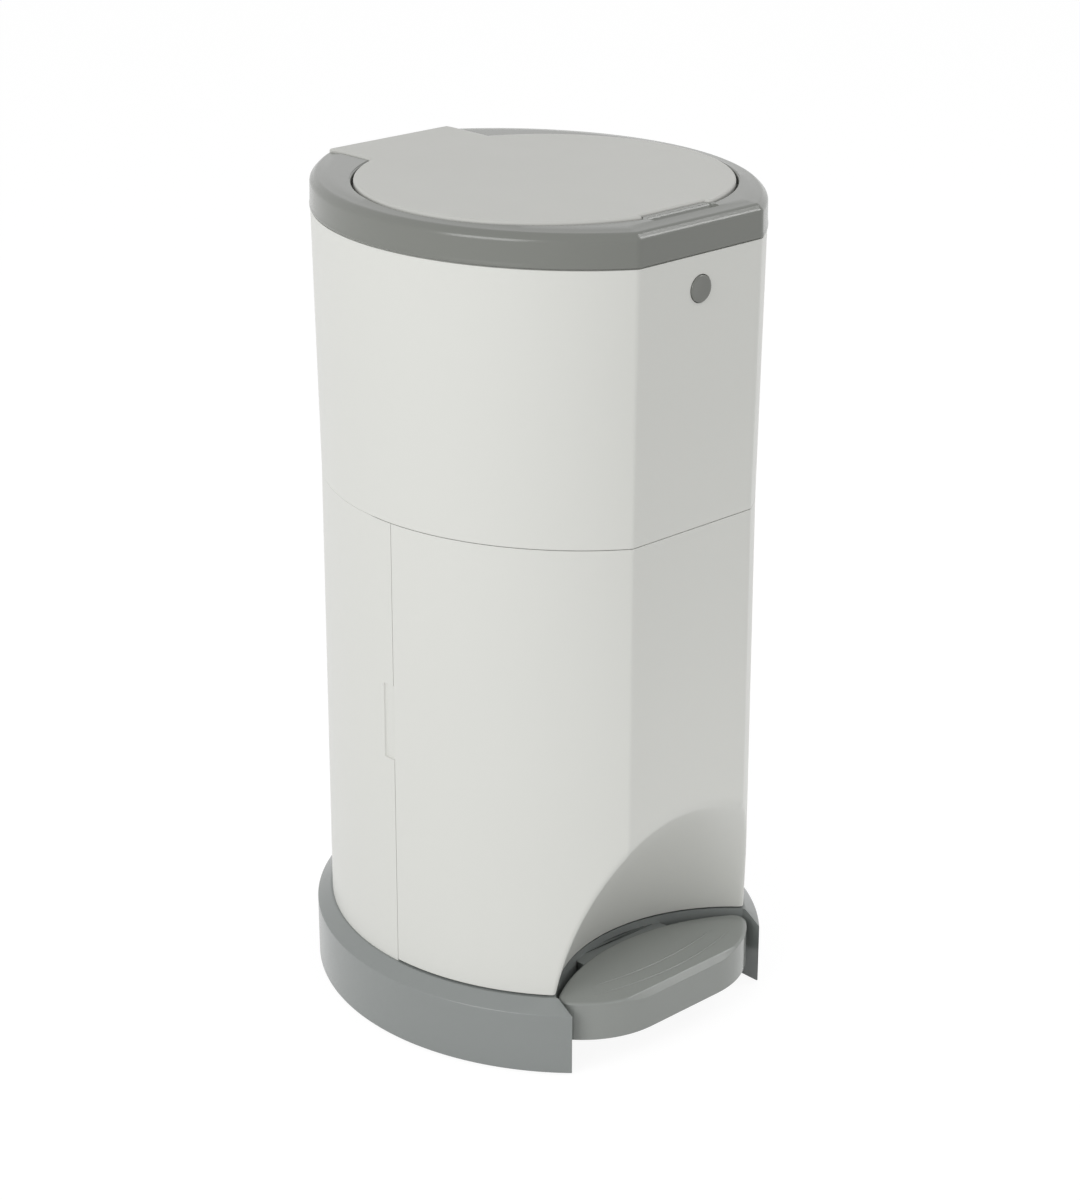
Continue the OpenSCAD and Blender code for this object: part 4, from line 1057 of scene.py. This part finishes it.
# Button
def front_button():
    button = middle("front_button")
    r = 8.2
    front = low("front_button").y - LID_MIDDLE_Y
    flange = 3.8
    stem = high("front_button").y - low("front_button").y
    profile = [(0, 0.55), (2.5, 0.5), (4.6, 0.34), (6.2, 0.12), (6.9, 0.02), (7.3, 0.03), (7.75, 0.2), (8.05, 0.5),
               (r, 0.95), (r, flange), (r + 1.6, flange), (r + 1.6, flange + 2), (5, flange + 2), (5, stem - 0.5),
               (4.5, stem), (0, stem)]
    bm = lathe(profile, 96, closed_loop=False)
    bm.transform(Matrix.Translation((0, front, button.z)) @ Matrix.Rotation(-pi / 2, 4, "X"))
    piece = to_object("front_button_finished", bm)
    return deliver(piece, "front_button", "button_grey", "front_button")


class NAPPYBIN_OT_button(bpy.types.Operator):
    """Build the round front button"""

    bl_idname = "nappybin.button"
    bl_label = "Button"

    def execute(self, context):
        front_button()
        return {"FINISHED"}


# What repeats or follows a path
def group_with(name, *labels):
    """New geometry tree with named inputs, and its input sockets by name."""
    kinds = {"Places": "Geometry", "Turn": "Vector", "Material": "Material"}
    tree = bpy.data.node_groups.new(name, "GeometryNodeTree")
    for label in ("Places", *labels, "Material"):
        tree.interface.new_socket(label, in_out="INPUT", socket_type="NodeSocket" + kinds.get(label, "Float"))
    tree.interface.new_socket("Geometry", in_out="OUTPUT", socket_type="NodeSocketGeometry")
    return tree, {socket.name: socket for socket in tree.nodes.new("NodeGroupInput").outputs}


def join(tree, *sockets):
    node = tree.nodes.new("GeometryNodeJoinGeometry")
    for socket in sockets:
        tree.links.new(socket, node.inputs["Geometry"])
    return node.outputs["Geometry"]


def lifted(tree, geometry, length, share):
    """Geometry moved up by a share of a length."""
    up = shading(tree, "CombineXYZ", {"Z": sums(tree, "MULTIPLY", length, share)})
    return geo(tree, "Transform", {"Geometry": geometry, "Translation": up})


def swept(tree, curve, section, **more):
    return geo(tree, "CurveToMesh", {"Curve": curve, "Profile Curve": section, **more})


def plant(tree, s, instance):
    """Ends a tree with the instance at every place, made real, in its material."""
    at = {"Points": s["Places"], "Instance": instance}
    if "Turn" in s:
        at["Rotation"] = s["Turn"]
    real = geo(tree, "RealizeInstances", {"Geometry": geo(tree, "InstanceOnPoints", at)})
    add_node(tree, "NodeGroupOutput",
             {"Geometry": geo(tree, "SetMaterial", {"Geometry": real, "Material": s["Material"]})})
    return tree


def grown(name, tree, places, **values):
    """Runs a tree on an object whose points are the places, in metres, and keeps the plain mesh."""
    mesh = bpy.data.meshes.new(name)
    mesh.from_pydata([tuple(p) for p in places], [], [])
    piece = put(name, mesh)
    modifier = piece.modifiers.new(name, "NODES")
    modifier.node_group = tree
    sockets = {item.name: item.identifier for item in tree.interface.items_tree if item.in_out == "INPUT"}
    for label, value in values.items():
        modifier[sockets[label.replace("_", " ")]] = value
    return settle(piece)


def screw_tree():
    """Pan head with a cross recess, shank and thread, hung head up from each point."""
    tree, s = group_with("screws", "Head radius", "Head height", "Shank radius", "Length", "Pitch", "Turn")
    tall, long = s["Head height"], s["Length"]

    def part(label, share):
        return sums(tree, "MULTIPLY", s[label], share)
    head = geo(tree, "MeshCylinder", {"Vertices": 40, "Side Segments": 1, "Fill Segments": 1,
                                      "Radius": s["Head radius"], "Depth": tall})
    wide, slim = part("Head radius", 1.15), part("Head radius", 0.3)
    arms = [geo(tree, "MeshCube", {"Size": shading(tree, "CombineXYZ", {"X": x, "Y": y, "Z": tall})})
            for x, y in ((wide, slim), (slim, wide))]
    cross = lifted(tree, join(tree, *arms), tall, 0.45)
    crossed = geo(tree, "MeshBoolean", {"Mesh 1": head, "Mesh 2": cross}, operation="DIFFERENCE")
    seated = lifted(tree, crossed, tall, 0.5)
    shank = geo(tree, "MeshCylinder", {"Vertices": 24, "Radius": part("Shank radius", 0.8), "Depth": long})
    mean_r = part("Shank radius", 0.84)
    spiral = geo(tree, "CurveSpiral", {"Resolution": 16, "Rotations": sums(tree, "DIVIDE", long, s["Pitch"]),
                                       "Start Radius": mean_r, "End Radius": mean_r, "Height": long})
    ridge = geo(tree, "CurvePrimitiveCircle", {"Resolution": 3, "Radius": part("Shank radius", 0.16)})
    thread = lifted(tree, swept(tree, spiral, ridge), long, -1.0)
    return plant(tree, s, join(tree, seated, lifted(tree, shank, long, -0.5), thread))


def spring_tree():
    """Wire wound along Z, standing on its point."""
    tree, s = group_with("springs", "Radius", "Wire", "Height", "Turns", "Turn")
    spiral = geo(tree, "CurveSpiral", {"Resolution": 40, "Rotations": s["Turns"], "Start Radius": s["Radius"],
                                       "End Radius": s["Radius"], "Height": s["Height"]})
    section = geo(tree, "CurvePrimitiveCircle", {"Resolution": 12, "Radius": s["Wire"]})
    return plant(tree, s, swept(tree, spiral, section, **{"Fill Caps": True}))


def rib_tree():
    """A low rib swept along an arc that bows to the front, tapered to nothing at both ends."""
    tree, s = group_with("ribs", "Radius", "Reach", "Width", "Height")
    half = sums(tree, "ARCSINE", sums(tree, "DIVIDE", s["Reach"], s["Radius"]))
    arc = geo(tree, "CurveArc", {"Resolution": 96, "Radius": s["Radius"],
                                 "Start Angle": sums(tree, "SUBTRACT", -pi / 2, half),
                                 "Sweep Angle": sums(tree, "MULTIPLY", half, 2.0)}, mode="RADIUS")
    rise = sums(tree, "SINE", sums(tree, "MULTIPLY", geo(tree, "SplineParameter"), pi))
    taper = sums(tree, "POWER", rise, 0.35)
    shaped = geo(tree, "SetCurveRadius", {"Curve": arc, "Radius": taper})
    section = geo(tree, "CurvePrimitiveCircle", {"Resolution": 16, "Radius": sums(tree, "MULTIPLY", s["Width"], 0.5)})
    flat = sums(tree, "DIVIDE", sums(tree, "MULTIPLY", s["Height"], 2.0), s["Width"])
    flat = shading(tree, "CombineXYZ", {"X": 1.0, "Y": 1.0, "Z": flat})
    rib = swept(tree, shaped, section, Scale=taper)
    return plant(tree, s, geo(tree, "Transform", {"Geometry": rib, "Scale": flat}))


def islands(node):
    """The (low, high) corners, in metres, of each separate piece of a frame node."""
    bm = frame_bmesh(node)
    left, found = set(bm.verts), []
    while left:
        front, seen = [left.pop()], []
        while front:
            v = front.pop()
            seen.append(v.co.copy())
            for e in v.link_edges:
                other = e.other_vert(v)
                if other in left:
                    left.remove(other)
                    front.append(other)
        found.append((Vector(map(min, *seen)), Vector(map(max, *seen))))
    bm.free()
    return found


def screws(node, body, head_up):
    """Finished screws for a frame node, one at each of its separate screws."""
    spots = islands(node)
    tall = spots[0][1].z - spots[0][0].z
    head = 2.2 * MM
    places = [Vector(((a.x + b.x) / 2, (a.y + b.y) / 2, b.z - head if head_up else a.z + head)) for a, b in spots]
    piece = grown(node + "_finished", screw_tree(), places, Head_radius=3.2 * MM, Head_height=head,
                  Shank_radius=1.5 * MM, Length=tall - head - 0.05 * MM, Pitch=1.2 * MM,
                  Turn=(0.0 if head_up else pi, 0.0, 0.0), Material=MATERIALS["steel"])
    return deliver(piece, body, "steel", node)


def spring(node, body, wire, turns):
    """Finished spring for a frame node that lies along the depth."""
    a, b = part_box(node)
    wire *= MM
    place = Vector(((a.x + b.x) / 2, a.y + wire, (a.z + b.z) / 2))
    piece = grown(node + "_finished", spring_tree(), [place], Radius=(b.z - a.z) / 2 - wire, Wire=wire,
                  Height=b.y - a.y - 2 * wire, Turns=turns, Turn=(-pi / 2, 0.0, 0.0),
                  Material=MATERIALS["steel"])
    return deliver(piece, body, "steel", node)


class NAPPYBIN_OT_screws(bpy.types.Operator):
    """Add the cross-head screws"""

    bl_idname = "nappybin.screws"
    bl_label = "Screws"

    def execute(self, context):
        screws("base_screws", "housing", False)
        screws("deck_screws", "housing", True)
        screws("pedal_screws", "pedal", False)
        return {"FINISHED"}


class NAPPYBIN_OT_springs(bpy.types.Operator):
    """Wind the springs of the button and the flaps"""

    bl_idname = "nappybin.springs"
    bl_label = "Springs"

    def execute(self, context):
        spring("button_spring", "housing", 0.6, 4.0)
        spring("trap_spring_left", "housing", 0.5, 6.0)
        spring("trap_spring_right", "housing", 0.5, 6.0)
        return {"FINISHED"}


# The stage
def area_lamp(name, place, target, size, energy, spread=180):
    data = bpy.data.lights.new(name, "AREA")
    data.shape = "RECTANGLE"
    data.size, data.size_y = size
    data.energy = energy
    data.spread = radians(spread)
    lamp = put(name, data)
    lamp.location = place
    lamp.rotation_euler = (Vector(target) - Vector(place)).to_track_quat("-Z", "Y").to_euler()
    return lamp


def seen_directly(tree):
    """1 for the rays in which the backdrop itself is seen: from the camera, in gloss and through glass."""
    path = tree.nodes.new("ShaderNodeLightPath").outputs
    total = sums(tree, "MAXIMUM", path["Is Camera Ray"], path["Is Glossy Ray"])
    return sums(tree, "MAXIMUM", total, path["Is Transmission Ray"])


def backdrop_material(share):
    """White floor: its own diffuse white, which keeps the shadow, under a share of plain white."""
    material, tree = new_material("backdrop")
    matt = shading(tree, "BsdfPrincipled", {"Base Color": (0.9, 0.9, 0.9, 1), "Roughness": 1.0,
                                            "Specular IOR Level": 0.0})
    white = shading(tree, "Emission", {"Strength": 1.08})
    weight = sums(tree, "MULTIPLY", seen_directly(tree), share)
    show(tree, shading(tree, "MixShader", {0: weight, 1: matt, 2: white}))
    return material


def add_camera(stage):
    """Camera that was fitted to the photograph's outline."""
    scene = bpy.context.scene
    data = bpy.data.cameras.new("camera")
    camera = put("camera", data)
    az, el = radians(stage.azimuth), radians(stage.elevation)
    look = Vector((-sin(az) * cos(el), cos(az) * cos(el), -sin(el)))
    aim = Vector(stage.aim) + Vector((0, LID_MIDDLE_Y, 0))
    camera.location = (aim - look * stage.distance) * MM
    camera.rotation_euler = look.to_track_quat("-Z", "Y").to_euler()
    data.sensor_fit = "VERTICAL"
    data.sensor_height = 36
    data.lens = data.sensor_height * stage.focal_pixels / stage.frame_height
    data.clip_start, data.clip_end = 0.05, 60
    scene.camera = camera
    scene.view_settings.view_transform = "Standard"
    return camera


def light_world(strength):
    """Soft light from all round, seen as plain white."""
    scene = bpy.context.scene
    world = scene.world or bpy.data.worlds.new("world")
    scene.world = world
    world.use_nodes = True
    tree = world.node_tree
    tree.nodes.clear()
    soft, white = (shading(tree, "Background", {"Color": (1, 1, 1, 1), "Strength": level}) for level in (strength, 1.0))
    show(tree, shading(tree, "MixShader", {0: seen_directly(tree), 1: soft, 2: white}), "World")


def add_floor(share):
    bm = bmesh.new()
    bmesh.ops.create_grid(bm, x_segments=1, y_segments=1, size=14000)
    bmesh.ops.translate(bm, verts=bm.verts, vec=(0, 0, -0.05))
    floor = to_object("floor", bm)
    floor.data.materials.append(backdrop_material(share))
    return floor


class NAPPYBIN_OT_stage(bpy.types.Operator):
    """Add the camera, the lamps and the pale floor"""

    bl_idname = "nappybin.stage"
    bl_label = "Stage"

    def execute(self, context):
        stage = context.scene.bin_stage
        camera = add_camera(stage)
        floor = add_floor(stage.floor_glow)
        light_world(stage.world)
        lamps = [
            area_lamp("key", (-2.6, -0.35, 1.5), (0, 0, 0.3), (1.6, 1.6), stage.key),
            area_lamp("glint", (1.64, -1.09, 2.0), (0, -0.13, 0.3), (0.55, 0.95), stage.glint),
            area_lamp("fill", (0.1, -1.05, 0.42), (0.02, -0.12, 0.11), (0.25, 0.25), stage.fill, 30),
        ]
        return {"FINISHED"}


class NAPPYBIN_OT_frame_finish(bpy.types.Operator):
    """Give every frame node that stays its finished material"""

    bl_idname = "nappybin.frame_finish"
    bl_label = "Inner parts"

    def execute(self, context):
        for name, node in frame["nodes"].items():
            node.data.materials.clear()
            node.data.materials.append(MATERIALS[SLOT_OF[name]])
        return {"FINISHED"}


class NAPPYBIN_OT_materials(bpy.types.Operator):
    """Make the materials"""

    bl_idname = "nappybin.materials"
    bl_label = "Materials"

    def execute(self, context):
        make_materials()
        return {"FINISHED"}


class NAPPYBIN_PT_panel(bpy.types.Panel):
    """Sizes, colours and steps of the nappy bin"""

    bl_idname = "NAPPYBIN_PT_panel"
    bl_label = "Nappy bin"
    bl_space_type = "VIEW_3D"
    bl_region_type = "UI"
    bl_category = "Nappy bin"

    def draw(self, context):
        for group in (context.scene.bin_shape, context.scene.bin_finish, context.scene.bin_stage):
            box = self.layout.box()
            for name in group.__annotations__:
                box.prop(group, name)
        for step in STEPS:
            self.layout.operator(step.bl_idname)


STEPS = (
    NAPPYBIN_OT_materials,
    NAPPYBIN_OT_frame_finish,
    NAPPYBIN_OT_housing,
    NAPPYBIN_OT_door,
    NAPPYBIN_OT_base,
    NAPPYBIN_OT_pedal,
    NAPPYBIN_OT_hood,
    NAPPYBIN_OT_lid,
    NAPPYBIN_OT_button,
    NAPPYBIN_OT_screws,
    NAPPYBIN_OT_springs,
    NAPPYBIN_OT_stage,
)
CLASSES = (BinShape, BinFinish, BinStage, NAPPYBIN_PT_panel) + STEPS


def register():
    for item in CLASSES:
        bpy.utils.register_class(item)
    bpy.types.Scene.bin_shape = PointerProperty(type=BinShape)
    bpy.types.Scene.bin_finish = PointerProperty(type=BinFinish)
    bpy.types.Scene.bin_stage = PointerProperty(type=BinStage)


def unregister():
    del bpy.types.Scene.bin_stage
    del bpy.types.Scene.bin_finish
    del bpy.types.Scene.bin_shape
    for item in reversed(CLASSES):
        bpy.utils.unregister_class(item)


def main():
    register()
    for step in STEPS:
        group, name = step.bl_idname.split(".")
        result = getattr(getattr(bpy.ops, group), name)()
        if result != {"FINISHED"}:
            raise RuntimeError(step.bl_label)


if __name__ == "__main__":
    main()
